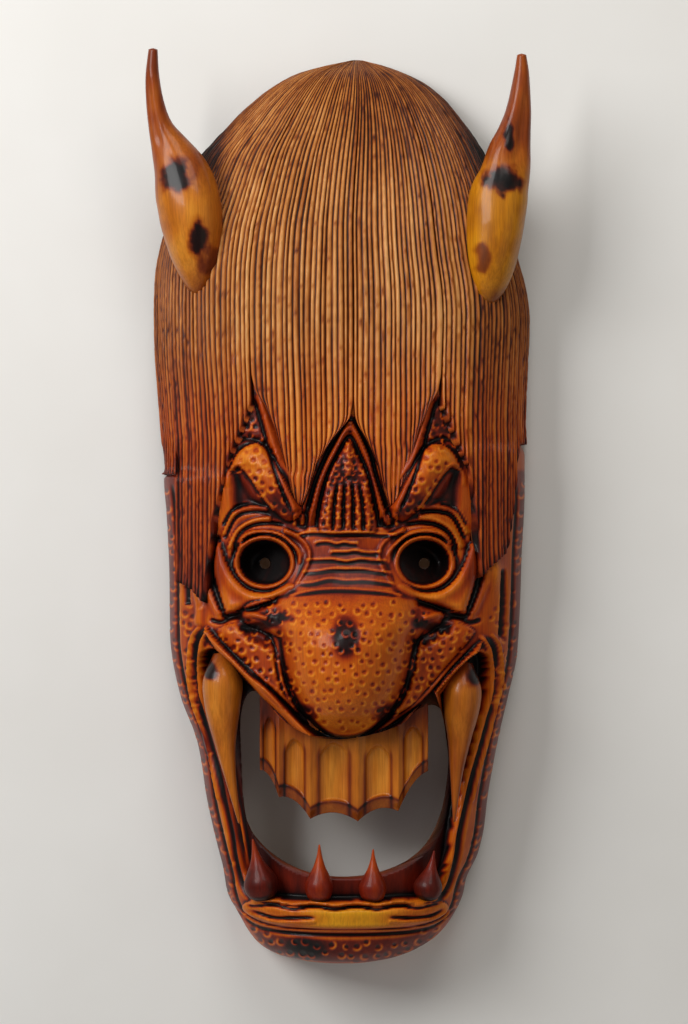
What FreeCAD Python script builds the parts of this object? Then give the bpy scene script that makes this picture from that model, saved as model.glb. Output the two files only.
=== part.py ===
import FreeCAD, Part
import math
import os

from FreeCAD import Vector

# Carved wooden demon mask for a wall: one hollowed block with long combed hair, a through-cut mouth and
# pierced eyes, two pegged horns, set-in teeth and fangs, and a ring hanger let into the back.
#
# Millimetres. X runs to the right as the mask is looked at, Y runs back into the wall and Z runs up.
# Heights below are measured from the tip of the chin. At the end everything is moved down by HOOK_HEIGHT,
# so that the origin is the point of the wall where the hook carries the ring.

# ---- driving dimensions -----------------------------------------------------------------------------
CROWN_HEIGHT = 593.0        # top of the bare block under the hair
CHEEK_WALL = 20.0           # thickness of the shell between the face and the hollow
HAIR_LIFT = 4.0             # the hair stands this much above the skin
SECTION_FULLNESS = 2.3      # exponent of the rounded cross-section: 2 is an ellipse
FRONT_REACH = -160.0        # cutters that run through the block start here
BACK_REACH = 20.0           # and end here, behind the wall plane
BACK_SPARE = 2.0            # the block starts this much too deep at the back and is planed flat

# (height, half width) and (height, depth) of the bare block
HALF_WIDTHS = [(0, 22), (6, 45), (15, 58), (28, 68), (46, 76), (75, 84), (107, 91), (147, 99), (174, 107),
               (203, 112), (257, 114), (322, 116), (374, 118), (434, 120), (475, 113), (503, 106), (530, 95),
               (545, 84), (565, 67), (577, 53), (586, 36), (591, 20), (593, 4)]
DEPTHS = [(0, 34), (6, 54), (22, 70), (60, 80), (150, 86), (260, 86), (350, 84), (420, 80),
          (480, 72), (530, 59), (560, 46), (580, 32), (593, 14)]
SECTION_HEIGHTS = [0, 6, 22, 60, 110, 147, 187, 240, 322, 380, 430, 480, 520, 550, 572, 586, 592.4]

# Hair: three bare peaks on the brow with a pointed lock between each pair, and a long lock down each side
PEAK_SIDE = (59.0, 370.0)
PEAK_MIDDLE = (1.0, 347.0)
LOCK_TIP = (29.0, 292.0)
TEMPLE = (79.0, 318.0)
SIDE_LOCK_TIP = (92.0, 238.0)
SIDE_LOCK_OUTER = (112.0, 262.0)

# Brows
BROW_CENTRE = (50.0, 315.0)
BROW_HALF = (11.0, 9.0, 28.0)
BROW_TURN = 45.0

# Eyes
EYE_X = 53.0
EYE_HEIGHT = 266.0
EYE_BOWL_RADIUS = 17.0
EYE_FLOOR_RADIUS = 11.0
EYE_RIM_WIDTH = 6.0
EYE_RIM_LIFT = 6.0
EYE_BOWL_DEPTH = 20.0
PUPIL_RADIUS = 7.0

# Nose: (depth, height, radius) along its middle, from the bridge down to the tip
NOSE = [(70, 288, 11), (79, 262, 17), (85, 240, 28), (88, 216, 39), (86, 194, 40), (83, 176, 32), (80, 164, 19),
        (78, 158, 6)]

# Mouth, as the right half of closed curves: the hole, the sunken gum round it and the lip round that
MOUTH_HOLE = [(0, 150), (35, 160), (57, 181), (67, 165), (69, 127), (67, 98), (60, 82), (40, 65), (0, 58)]
GUM_RECESS = [(0, 142), (30, 153), (62, 186), (86, 206), (95, 192), (90, 150), (78, 110), (72, 70), (60, 47),
              (0, 44)]
LIP_OUTER = [(0, 128), (40, 148), (72, 192), (97, 220), (103, 180), (93, 115), (82, 66), (66, 38), (0, 29)]
LIP_LIFT = 6.0
GUM_DEPTH = 12.0            # the gum lies this much below the bare block's skin

# Upper teeth: one plate
TEETH_HALF_WIDTH = 51.5
TEETH_TOP = 183.0
TEETH_FRONT = 76.0
TEETH_THICKNESS = 13.0
TEETH_BOW = 260.0           # the plate bends round the jaw on this radius
TEETH_CUSPS = [(-56, 129), (-43.5, 111.5), (-23, 97.5), (8, 96), (34.5, 102.5), (54, 128.5)]
TEETH_ARCH_RISE = 5.0
FLUTE_HALF_HEIGHT = 24.0
FLUTE_DEPTH = 3.0

# Fangs: (x, depth, height, radius) along the middle of each fang, from its root down to its tip
FANG_LEFT = [(-81, 60, 204, 7.0), (-80.5, 62, 189, 13.6), (-80.5, 63, 170, 12.2), (-78.5, 64, 144, 6.8),
             (-74.5, 66, 120, 3.4), (-69.5, 68, 95, 0.8)]
FANG_RIGHT = [(78, 60, 198, 6.5), (77, 62, 184, 12.6), (76, 63, 169, 12.4), (74.5, 64, 148, 7.8),
              (72.5, 66, 126, 4.2), (71, 68, 96, 0.8)]
FANG_PEG_RADIUS = 3.5
FANG_PEG_LENGTH = 14.0

# Lower teeth: (x, depth, radius, height of the tip, outward lean in degrees)
LOWER_TEETH = {"lower_tooth_outer_left": (-53.0, 64.0, 10.5, 83.5, -11.0),
               "lower_tooth_inner_left": (-17.0, 74.0, 8.8, 81.0, 0.0),
               "lower_tooth_inner_right": (18.0, 74.0, 8.6, 78.0, 0.0),
               "lower_tooth_outer_right": (53.0, 64.0, 9.0, 76.0, 9.0)}
LOWER_TOOTH_BASE = 45.0
LOWER_TOOTH_PEG_RADIUS = 3.0
LOWER_TOOTH_PEG_LENGTH = 10.0

# Horns: (x, depth, height, radius) along the middle of each horn, from its base up to its tip
HORN_LEFT = [(-96.4, 52, 440, 2.5), (-96.2, 53, 446, 8.5), (-97.5, 55, 464, 16.5), (-100, 56, 486, 20.5),
             (-103, 56, 504, 21.0), (-107.5, 56, 520, 18.5), (-115, 57, 536, 13.0), (-121.5, 59, 550, 8.3),
             (-125, 61, 565, 6.0), (-126.5, 63, 583, 4.6), (-126, 64, 603, 2.2)]
HORN_RIGHT = [(91.7, 52, 432, 2.5), (92.5, 53, 440, 9.0), (95, 55, 458, 15.5), (98.5, 56, 484, 19.0),
              (101, 56, 505, 19.0), (104.5, 57, 519, 16.5), (107.5, 57, 535, 14.0), (110.5, 58, 547, 11.0),
              (113.5, 60, 562, 8.0), (115.5, 62, 584, 5.0), (115.5, 64, 598.5, 2.2)]
HORN_DOWEL_RADIUS = 5.0
HORN_DOWEL_LENGTH = 34.0
HORN_DOWEL_START = 5.0      # each dowel starts this far inside the horn, past the horn's middle
HORN_DOWEL_STATION = 3      # the station of the horn that the dowel goes through
HORN_DOWEL_TURN = 38.5      # and runs inwards and back, this many degrees from straight back
GLUE_GAP = 0.05

# Hanger on the back
POCKET_HALF_WIDTH = 19.0
POCKET_BOTTOM = 480.0
POCKET_TOP = 548.0
POCKET_DEPTH = 9.0
POCKET_CORNER = 5.0
HOLLOW_TOP = 462.0
HOLLOW_DOME = (86.0, 56.0)  # half width and depth of the hollow's rounded top
HOLLOW_DOME_HEIGHT = 425.0
HOLLOW_DOME_BACK = 4.0      # the dome's centre lies this far behind the wall plane
STRAP_WIDTH = 14.0
STRAP_THICKNESS = 1.2
STRAP_BOTTOM = 486.0
RING_AXIS_HEIGHT = 520.0
WIRE_RADIUS = 1.5
ROLL_CLEARANCE = 0.1
RING_HALF_WIDTH = 10.5
RING_REACH = 18.0
RING_CORNER = 3.0
SCREW_RADIUS = 1.75
SCREW_LENGTH = 15.0
SCREW_POINT = 5.0
SCREW_HEAD_RADIUS = 3.4
SCREW_HEAD_HEIGHT = 2.2
SCREW_DOME_RADIUS = 4.0
SCREW_SLOT = (0.9, 1.0)     # width and depth of the driver slot
SCREW_HOLE_GAP = 0.2
SCREW_HEIGHTS = (491.5, 504.0)

RING_AXIS_DEPTH = -POCKET_DEPTH + STRAP_THICKNESS + ROLL_CLEARANCE + WIRE_RADIUS
HOOK_HEIGHT = RING_AXIS_HEIGHT + RING_REACH - WIRE_RADIUS     # inside of the ring's top


# ---- shapes -----------------------------------------------------------------------------------------
def smooth(table, at):
    """Value of a smooth curve, with no overshoot, through (position, value) pairs."""
    if at <= table[0][0]:
        return table[0][1]
    if at >= table[-1][0]:
        return table[-1][1]
    slopes = [(b[1] - a[1]) / (b[0] - a[0]) for a, b in zip(table, table[1:])]
    tangents = [slopes[0]]
    for before, after in zip(slopes, slopes[1:]):
        tangents.append(0.0 if before * after <= 0 else 2 * before * after / (before + after))
    tangents.append(slopes[-1])
    i = max(k for k, pair in enumerate(table[:-1]) if pair[0] <= at)
    a, b = table[i], table[i + 1]
    span = b[0] - a[0]
    t = (at - a[0]) / span
    return ((1 + 2 * t) * (1 - t) ** 2 * a[1] + t * (1 - t) ** 2 * span * tangents[i]
            + t * t * (3 - 2 * t) * b[1] + t * t * (t - 1) * span * tangents[i + 1])


def skin_depth(x, height):
    """How far the bare block stands out from the wall at a point of the front."""
    share = min(1.0, abs(x) / smooth(HALF_WIDTHS, height))
    return smooth(DEPTHS, height) * (1 - share ** SECTION_FULLNESS) ** (1 / SECTION_FULLNESS)


def section(height, lift, back):
    """Closed cross-section of the block, grown outwards by lift, with its flat side at Y = back."""
    wide = smooth(HALF_WIDTHS, height) + lift
    deep = smooth(DEPTHS, height) + lift
    power = 2 / SECTION_FULLNESS
    middle = CROWN_HEIGHT / 2
    level = middle + (height - middle) * (1 + 2 * lift / CROWN_HEIGHT)
    points = []
    for step in range(-6, 7):
        angle = math.radians(15 * step)
        side = math.copysign(abs(math.sin(angle)) ** power, step)
        points.append(Vector(wide * side, -deep * max(0.0, math.cos(angle)) ** power, level))
    points[0].y = points[-1].y = back
    curve = Part.BSplineCurve()
    curve.interpolate(points)
    return Part.Wire([curve.toShape(), Part.LineSegment(points[-1], points[0]).toShape()])


def block(lift, lowest=0.0, highest=CROWN_HEIGHT, back=BACK_SPARE):
    """The rounded block between two heights, grown outwards by lift."""
    heights = [h for h in SECTION_HEIGHTS if lowest <= h <= highest]
    return Part.makeLoft([section(h, lift, back) for h in heights], True, False)


def curve_wire(right_half):
    """Closed smooth outline in the front plane, mirrored about the middle line that it starts and ends on."""
    points = right_half + [(-x, z) for x, z in reversed(right_half[1:-1])]
    curve = Part.BSplineCurve()
    curve.interpolate([Vector(x, 0, z) for x, z in points], PeriodicFlag=True)
    return Part.Wire([curve.toShape()])


def straight_wire(points):
    """Closed outline of straight edges in the front plane, through (x, height) points."""
    corners = [Vector(x, 0, z) for x, z in points]
    return Part.makePolygon(corners + corners[:1])


def prism(wire):
    """Solid that an outline in the front plane sweeps right through the block."""
    face = Part.Face(wire)
    face.translate(Vector(0, FRONT_REACH, 0))
    return face.extrude(Vector(0, BACK_REACH - FRONT_REACH, 0))


def through(radius, x, height):
    """Cylinder right through the block, square to the wall."""
    return Part.makeCylinder(radius, BACK_REACH - FRONT_REACH, Vector(x, FRONT_REACH, height), Vector(0, 1, 0))


def ellipsoid(centre, half, turn=0.0):
    """Ellipsoid with semi-axes along X, Y and Z, turned about Y by turn degrees."""
    matrix = FreeCAD.Matrix()
    matrix.scale(*half)
    ball = Part.makeSphere(1.0).transformGeometry(matrix)
    ball.rotate(Vector(0, 0, 0), Vector(0, 1, 0), turn)
    ball.translate(centre)
    return ball


def taper(stations):
    """Solid of round sections through (x, depth, height, radius) stations, square to its middle line."""
    centres = [Vector(x, -back, z) for x, back, z, _ in stations]
    wires = []
    for i, centre in enumerate(centres):
        along = (centres[min(i + 1, len(centres) - 1)] - centres[max(i - 1, 0)]).normalize()
        circle = Part.Circle(centre, along, stations[i][3])
        wires.append(Part.Wire([circle.toShape()]))
    return Part.makeLoft(wires, True, False)


# ---- the carved block -------------------------------------------------------------------------------
def hair():
    """The combed hair: the front of the block grown by HAIR_LIFT, inside the outline of the hair."""
    side = [SIDE_LOCK_OUTER, SIDE_LOCK_TIP, TEMPLE, PEAK_SIDE, LOCK_TIP]
    left = [(-x, z) for x, z in side]
    right = list(reversed(side))
    wide = smooth(HALF_WIDTHS, PEAK_SIDE[1]) + 20
    high = CROWN_HEIGHT + 40
    top = [(wide, SIDE_LOCK_OUTER[1]), (wide, high), (-wide, high), (-wide, SIDE_LOCK_OUTER[1])]
    outline = straight_wire(left + [PEAK_MIDDLE] + right + top)
    return block(HAIR_LIFT, lowest=187).common(prism(outline))


def brows():
    x, height = BROW_CENTRE
    back = -skin_depth(x, height)
    return [ellipsoid(Vector(side * x, back, height), BROW_HALF, side * BROW_TURN) for side in (-1, 1)]


def eye_rims():
    raised = block(EYE_RIM_LIFT, lowest=147, highest=430)
    radius = EYE_BOWL_RADIUS + EYE_RIM_WIDTH
    return [raised.common(through(radius, side * EYE_X, EYE_HEIGHT)) for side in (-1, 1)]


def lip():
    return block(LIP_LIFT, highest=322).common(prism(curve_wire(LIP_OUTER)))


def nose():
    return taper([(0, back, height, radius) for back, height, radius in NOSE])


def hollow():
    """What is carved out of the back: the block shrunk by the wall's thickness, with a domed top."""
    core = block(-CHEEK_WALL, lowest=22, highest=430, back=HOLLOW_DOME_BACK + 1)
    wide, deep = HOLLOW_DOME
    dome = ellipsoid(Vector(0, HOLLOW_DOME_BACK, HOLLOW_DOME_HEIGHT), (wide, deep, HOLLOW_TOP - HOLLOW_DOME_HEIGHT))
    return core.fuse(dome)


def behind_the_wall():
    """Everything behind the wall plane, where the block is planed flat."""
    wide = 2 * max(half for _, half in HALF_WIDTHS)
    return Part.makeBox(2 * wide, BACK_REACH, CROWN_HEIGHT + 2 * wide, Vector(-wide, 0, -wide))


def gum_recess():
    """Sunken band between the lip and the hole, where the fangs and the lower teeth stand."""
    return prism(curve_wire(GUM_RECESS)).cut(block(-GUM_DEPTH, lowest=6, highest=322))


def pocket():
    """Recess for the hanger, with rounded corners."""
    box = Part.makeBox(2 * POCKET_HALF_WIDTH, POCKET_DEPTH + BACK_REACH, POCKET_TOP - POCKET_BOTTOM,
                       Vector(-POCKET_HALF_WIDTH, -POCKET_DEPTH, POCKET_BOTTOM))
    upright = [e for e in box.Edges if abs(e.tangentAt(e.FirstParameter).y) > 0.99]
    return box.makeFillet(POCKET_CORNER, upright)


def eye_cut(side):
    """Deep tapered socket with a pierced pupil behind it."""
    front = skin_depth(EYE_X, EYE_HEIGHT) + EYE_RIM_LIFT
    slope = (EYE_BOWL_RADIUS - EYE_FLOOR_RADIUS) / EYE_BOWL_DEPTH
    ahead = 12.0                                    # the cutter starts this far in front of the rim
    bowl = Part.makeCone(EYE_BOWL_RADIUS + slope * ahead, EYE_FLOOR_RADIUS, EYE_BOWL_DEPTH + ahead,
                         Vector(side * EYE_X, -front - ahead, EYE_HEIGHT), Vector(0, 1, 0))
    return bowl.fuse(through(PUPIL_RADIUS, side * EYE_X, EYE_HEIGHT))


def mask_body(seats):
    """The carved block, with a seat cut for every piece that is set into it."""
    body = block(0.0).fuse([hair(), lip(), nose()] + eye_rims() + brows())
    mouth = prism(curve_wire(MOUTH_HOLE))
    for cutter in [behind_the_wall(), hollow(), gum_recess(), mouth, pocket(), eye_cut(-1), eye_cut(1)] + seats:
        body = body.cut(cutter)
    return body


# ---- horns, teeth and fangs -------------------------------------------------------------------------
def horn_dowel(stations, radius, extra=0.0):
    """Round peg from inside the horn into the block, longer by extra at both ends."""
    x, back, height, _ = stations[HORN_DOWEL_STATION]
    turn = math.radians(HORN_DOWEL_TURN)
    inward = Vector(-math.copysign(math.sin(turn), x), math.cos(turn), 0)
    start = Vector(x, -back, height) - inward * (HORN_DOWEL_START + extra)
    return Part.makeCylinder(radius, HORN_DOWEL_LENGTH + 2 * extra, start, inward)


def teeth_outline():
    """Outline of the upper plate: a low arch between each pair of cusps, and straight sides."""
    ends = [Vector(x, 0, z) for x, z in TEETH_CUSPS]
    edges = []
    for a, b in zip(ends, ends[1:]):
        crest = (a + b) * 0.5 + Vector(0, 0, TEETH_ARCH_RISE)
        edges.append(Part.Arc(a, crest, b).toShape())
    top_right = Vector(TEETH_HALF_WIDTH, 0, TEETH_TOP)
    top_left = Vector(-TEETH_HALF_WIDTH, 0, TEETH_TOP)
    for a, b in ((ends[-1], top_right), (top_right, top_left), (top_left, ends[0])):
        edges.append(Part.LineSegment(a, b).toShape())
    return Part.Wire(edges)


def upper_teeth():
    """One curved plate: five hollow-ground teeth with pointed cusps between them."""
    axis = Vector(0, TEETH_BOW - TEETH_FRONT, 0)
    outside = Part.makeCylinder(TEETH_BOW, CROWN_HEIGHT, axis)
    inside = Part.makeCylinder(TEETH_BOW - TEETH_THICKNESS, CROWN_HEIGHT, axis)
    plate = outside.cut(inside).common(prism(teeth_outline()))
    for a, b in zip(TEETH_CUSPS, TEETH_CUSPS[1:]):
        middle = (a[0] + b[0]) / 2
        half = (b[0] - a[0]) / 2 - 2.0
        surface = TEETH_BOW - math.sqrt(TEETH_BOW ** 2 - middle ** 2) - TEETH_FRONT
        foot = (a[1] + b[1]) / 2 + TEETH_ARCH_RISE + 5
        flute = ellipsoid(Vector(middle, surface, foot + FLUTE_HALF_HEIGHT), (half, FLUTE_DEPTH, FLUTE_HALF_HEIGHT))
        plate = plate.cut(flute)
    return plate


def fang(stations):
    """Long upper tusk with a round peg that runs up into the cheek."""
    x, back, height, radius = stations[0]
    foot = Vector(x, -back, height - radius)
    peg = Part.makeCylinder(FANG_PEG_RADIUS, FANG_PEG_LENGTH + radius, foot, Vector(0, 0, 1))
    return taper(stations).fuse(peg)


def lower_tooth(x, back, radius, tip, lean):
    """Pointed drop-shaped tooth with a round peg below."""
    tall = tip - LOWER_TOOTH_BASE
    shoulder = Vector(LOWER_TOOTH_PEG_RADIUS, 0, 0)
    profile = Part.BSplineCurve()
    profile.interpolate([shoulder, Vector(radius * 0.86, 0, tall * 0.1), Vector(radius, 0, tall * 0.27),
                         Vector(radius * 0.6, 0, tall * 0.55), Vector(radius * 0.22, 0, tall * 0.82),
                         Vector(0, 0, tall)])
    corners = [Vector(0, 0, tall), Vector(0, 0, -LOWER_TOOTH_PEG_LENGTH),
               Vector(LOWER_TOOTH_PEG_RADIUS, 0, -LOWER_TOOTH_PEG_LENGTH), shoulder]
    edges = [Part.LineSegment(a, b).toShape() for a, b in zip(corners, corners[1:])]
    outline = Part.Face(Part.Wire(edges + [profile.toShape()]))
    tooth = outline.revolve(Vector(0, 0, 0), Vector(0, 0, 1), 360)
    tooth.rotate(Vector(0, 0, 0), Vector(0, 1, 0), lean)
    tooth.translate(Vector(x, -back, LOWER_TOOTH_BASE))
    return tooth


# ---- hanger -----------------------------------------------------------------------------------------
def hanger_strap():
    """Steel strap screwed to the floor of the pocket, with its top end rolled round the ring."""
    inside = WIRE_RADIUS + ROLL_CLEARANCE
    left = -STRAP_WIDTH / 2
    axis = Vector(left, RING_AXIS_DEPTH, RING_AXIS_HEIGHT)
    plate = Part.makeBox(STRAP_WIDTH, STRAP_THICKNESS, RING_AXIS_HEIGHT - STRAP_BOTTOM,
                         Vector(left, -POCKET_DEPTH, STRAP_BOTTOM))
    roll = Part.makeCylinder(inside + STRAP_THICKNESS, STRAP_WIDTH, axis, Vector(1, 0, 0))
    bore = Part.makeCylinder(inside, STRAP_WIDTH, axis, Vector(1, 0, 0))
    strap = plate.fuse(roll).cut(bore)
    for height in SCREW_HEIGHTS:
        strap = strap.cut(through(SCREW_RADIUS + SCREW_HOLE_GAP, 0, height))
    return strap


def hanger_ring():
    """D-shaped wire ring: a straight leg through the strap's roll, two arms and a round bow."""
    y = RING_AXIS_DEPTH
    x = RING_HALF_WIDTH
    low = RING_AXIS_HEIGHT
    high = low + RING_REACH - x
    corner = RING_CORNER
    knee = corner * (1 - math.sqrt(0.5))
    path = [Part.LineSegment(Vector(-x, y, low + corner), Vector(-x, y, high)),
            Part.Arc(Vector(-x, y, high), Vector(0, y, high + x), Vector(x, y, high)),
            Part.LineSegment(Vector(x, y, high), Vector(x, y, low + corner)),
            Part.Arc(Vector(x, y, low + corner), Vector(x - knee, y, low + knee), Vector(x - corner, y, low)),
            Part.LineSegment(Vector(x - corner, y, low), Vector(-x + corner, y, low)),
            Part.Arc(Vector(-x + corner, y, low), Vector(-x + knee, y, low + knee), Vector(-x, y, low + corner))]
    wire = Part.Wire([span.toShape() for span in path])
    circle = Part.Circle(Vector(-x, y, low + corner), Vector(0, 0, 1), WIRE_RADIUS)
    return wire.makePipeShell([Part.Wire([circle.toShape()])], True, False)


def hanger_screws():
    """Two round-headed wood screws through the strap, with slotted heads."""
    seat = -POCKET_DEPTH + STRAP_THICKNESS
    crown = seat + SCREW_HEAD_HEIGHT
    slot_width, slot_depth = SCREW_SLOT
    straight = SCREW_LENGTH - SCREW_POINT
    screws = []
    for height in SCREW_HEIGHTS:
        shank = Part.makeCylinder(SCREW_RADIUS, straight, Vector(0, seat, height), Vector(0, -1, 0))
        point = Part.makeCone(SCREW_RADIUS, 0.2, SCREW_POINT, Vector(0, seat - straight, height), Vector(0, -1, 0))
        ball = Part.makeSphere(SCREW_DOME_RADIUS, Vector(0, crown - SCREW_DOME_RADIUS, height))
        disc = Part.makeCylinder(SCREW_HEAD_RADIUS, SCREW_DOME_RADIUS, Vector(0, seat, height), Vector(0, 1, 0))
        slot = Part.makeBox(2 * SCREW_DOME_RADIUS, slot_depth + 1, slot_width,
                            Vector(-SCREW_DOME_RADIUS, crown - slot_depth, height - slot_width / 2))
        screws.append(ball.common(disc).fuse([shank, point]).cut(slot))
    return Part.makeCompound(screws)


def main():
    os.makedirs("parts", exist_ok=True)
    pieces = {"upper_teeth": upper_teeth(), "fang_left": fang(FANG_LEFT), "fang_right": fang(FANG_RIGHT)}
    for name, sizes in LOWER_TEETH.items():
        pieces[name] = lower_tooth(*sizes)
    seats = list(pieces.values())
    for side, stations in (("left", HORN_LEFT), ("right", HORN_RIGHT)):
        horn = taper(stations)
        hole = horn_dowel(stations, HORN_DOWEL_RADIUS + GLUE_GAP, extra=1.0)
        pieces["horn_" + side] = horn.cut(hole)
        pieces["horn_dowel_" + side] = horn_dowel(stations, HORN_DOWEL_RADIUS)
        seats += [horn, hole]
    pieces["hanger_strap"] = hanger_strap()
    pieces["hanger_ring"] = hanger_ring()
    pieces["hanger_screws"] = hanger_screws()
    seats.append(pieces["hanger_screws"])
    pieces["mask_body"] = mask_body(seats)
    for name, shape in pieces.items():
        shape.translate(Vector(0, 0, -HOOK_HEIGHT))
        solids = len(shape.Solids)
        print(f"{name:26s} solids {solids}  volume {shape.Volume / 1000:9.2f} cm3  valid {shape.isValid()}")
        shape.exportStep(os.path.join("parts", name + ".step"))


main()
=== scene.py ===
import bpy
import math
import numpy as np
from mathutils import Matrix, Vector


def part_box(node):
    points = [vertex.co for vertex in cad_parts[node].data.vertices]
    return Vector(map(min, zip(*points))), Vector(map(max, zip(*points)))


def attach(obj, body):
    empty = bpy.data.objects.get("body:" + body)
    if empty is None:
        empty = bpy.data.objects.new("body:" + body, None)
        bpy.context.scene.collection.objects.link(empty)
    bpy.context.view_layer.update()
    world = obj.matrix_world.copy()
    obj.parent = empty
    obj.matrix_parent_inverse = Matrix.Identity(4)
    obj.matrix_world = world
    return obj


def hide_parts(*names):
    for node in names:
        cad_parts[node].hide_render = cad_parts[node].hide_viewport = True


# A carved, scorched and varnished demon mask on a wall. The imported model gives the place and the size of
# everything. The carved block is remade here as two closed pieces, the face with its hollow back and the
# combed hair over it, and the horns, fangs and teeth are remade as carved wood. The hanger keeps its shape.

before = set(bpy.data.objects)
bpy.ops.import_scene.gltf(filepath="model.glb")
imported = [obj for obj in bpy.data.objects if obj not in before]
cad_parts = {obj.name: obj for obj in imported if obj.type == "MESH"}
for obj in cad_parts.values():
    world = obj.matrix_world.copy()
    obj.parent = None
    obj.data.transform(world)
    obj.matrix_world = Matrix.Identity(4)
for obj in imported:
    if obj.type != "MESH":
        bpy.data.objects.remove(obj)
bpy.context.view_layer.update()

MM = 0.001
BODY_LOW, BODY_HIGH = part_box("mask_body")
CHIN = BODY_LOW[2]
WALL = BODY_HIGH[1]
rng = np.random.default_rng(7)

# ---- sizes, in millimetres: x to the right, depth out from the wall, height above the chin ----
SQUARENESS = 2.3                # the block's cross-section is a superellipse with this exponent
FULLNESS = 2 / SQUARENESS
HOLLOW_SQUARENESS = 2.6
HALF_WIDTH, BLOCK_DEPTH = 118, 84       # rough size of a section, to space the columns
TOP = 596.0                     # height of the highest row
HAIR_LIFT = 4.0                 # how far the hair stands over the block
SHELL = 20.0                    # wall between face and hollow
THINNEST = 5.0                  # the least wood left between the relief and the hollow
FACE_PITCH = 0.9                # spacing of the mesh over the face
JAW_PITCH = 1.2
RIM_PITCH = 1.5
BACK_PITCH = 2.2
SNAP = 0.56                     # share of the spacing over which points move onto an outline
UNDER_HAIR = 380.0              # the face has no relief above this height
BACK_INSET = 0.992              # width of the back sheet against the front sheet
CAP_ROWS = 6                    # rows that close the chin
POCKET = [(-19, 486), (-19, 542), (-13, 548), (13, 548), (19, 542), (19, 486), (13, 480), (-13, 480)]
POCKET_DEPTH = 9.0              # of the hanger's pocket in the back

# outline of the block from the front, (height, distance from the middle line), left and right
LEFT_EDGE = [(0, 34), (4, 49), (12, 60), (28, 70), (44, 78), (59, 80.5), (75, 84.5), (107, 91.5), (134, 95.5),
             (147, 98.5), (174, 108.5), (200, 114), (214, 115.5), (257, 116), (299, 118), (320, 119.5), (326, 114.5),
             (348, 117), (374, 119), (408, 121.5), (434, 122), (453, 121.5), (480, 117), (505, 107), (533, 94),
             (549, 81), (569, 60), (587, 31), (593, 10), (596, -5)]
RIGHT_EDGE = [(0, 24), (2, 36), (7, 49), (16, 62), (27, 70.5), (42, 77.5), (52, 79.5), (70, 87.5), (88, 91.5),
              (106, 93.5), (127, 97), (148, 101), (174, 107), (203, 113), (236, 115), (269, 116), (312, 118),
              (336, 118), (345, 115), (356, 114.8), (391, 116), (426, 117.4), (442, 116), (467, 110), (500, 103.5),
              (538, 88), (564, 70), (580, 52), (592, 25), (596, 10)]
SPREAD = 1.022                  # the rim lies further back than the face, so it is this much wider than it looks
CROWN_RISE = 5.0                # and its top is this much higher
CROWN_X = 7.0                   # the hair's whorl lies this far right of the middle
DEPTHS = [(0, 47), (3, 57), (10, 66), (24, 74), (60, 80), (150, 86), (260, 86), (350, 84), (420, 80),
          (480, 72), (530, 59), (560, 46), (580, 32), (593, 14), (596, 8)]

# where the hair ends: (x, height)
HAIRLINE = [(-130, 322), (-112.5, 322), (-111.5, 250), (-103, 247), (-94, 237), (-90, 268), (-87, 292), (-78, 327),
            (-58, 376), (-44, 327), (-29, 291), (-17, 325), (4, 358), (19, 325), (29, 291), (47, 327), (59, 376),
            (81, 325), (86, 290), (89, 254), (97, 262), (107, 270), (112, 300), (115, 342), (130, 342)]
STRAND = 3.3                    # width of one combed strand
STRAND_CUT = [-1.9, -0.55, 0.05, 0.2, 0.05, -0.55]      # across one strand, from groove to groove
PER_STRAND = len(STRAND_CUT)
HAIR_ROWS = 120
HAIR_PEAKS = (-58.0, 4.0, 59.0)                         # the strands part at these bare peaks
LOCK_TIP_HEIGHT = 301.0
GATHER = 1.8                                            # strands close up over this distance
HANG_FROM = 345.0                                       # below this the side hair hangs straight down
# outlines of the two locks over the brow, (x, height) upwards: left side, right side
LOCK_EDGES = {1: ([(-30.4, 301), (-33.5, 311), (-38, 330), (-44, 352), (-51, 368), (-58, 377)],
                  [(-28.0, 301), (-23.5, 312), (-18.5, 329), (-9, 345), (4, 360)]),
              2: ([(28.0, 301), (24.5, 312), (20.5, 329), (13.5, 345), (4, 360)],
                  [(30.4, 301), (34.5, 311), (40, 330), (46, 352), (53, 368), (59, 377)])}

MOUTH_HOLE = [(-4, 150), (35, 160), (57, 181), (67, 165), (69, 127), (68, 99), (61, 83), (52, 73), (38, 64), (20, 59),
              (-4, 57.5), (-28, 60.5), (-42, 67), (-53, 76), (-62, 85), (-68, 95), (-70.5, 120), (-69, 165),
              (-59, 181), (-37, 160)]
EYE_LEFT = (-52.8, 265.3)
EYE_RIGHT = (51.5, 265.3)
EYE_HALF = (16.5, 14.5)
PUPIL = 3.6                     # radius of the hole
PUPIL_DROP = -1.0
FACE_PLANE = -0.06              # in metres from here on: the plane that the camera is fitted to
VIEW_DISTANCE = 2.2
VIEW_WIDTH = 0.672              # what it sees across that plane
SENSOR = 36                     # the camera's sensor, in its own millimetres


# ---- small mathematics ----
def smooth(table, at):
    """Smooth curve with no overshoot through (position, value) pairs, for an array of positions."""
    xs, ys = np.array(table, float).T
    step = np.diff(xs)
    slope = np.diff(ys) / step
    inner = np.where(slope[:-1] * slope[1:] > 0, 2 * slope[:-1] * slope[1:] / (slope[:-1] + slope[1:] + 1e-12), 0)
    tangent = np.concatenate([slope[:1], inner, slope[-1:]])
    at = np.clip(at, xs[0], xs[-1])
    i = np.clip(np.searchsorted(xs, at, side="right") - 1, 0, len(step) - 1)
    t = (at - xs[i]) / step[i]
    return ((1 + 2 * t) * (1 - t) ** 2 * ys[i] + t * (1 - t) ** 2 * step[i] * tangent[i]
            + t * t * (3 - 2 * t) * ys[i + 1] + t * t * (t - 1) * step[i] * tangent[i + 1])


def ease(t):
    """0 to 1, level at both ends."""
    t = np.clip(t, 0, 1)
    return t * t * (3 - 2 * t)


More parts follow.
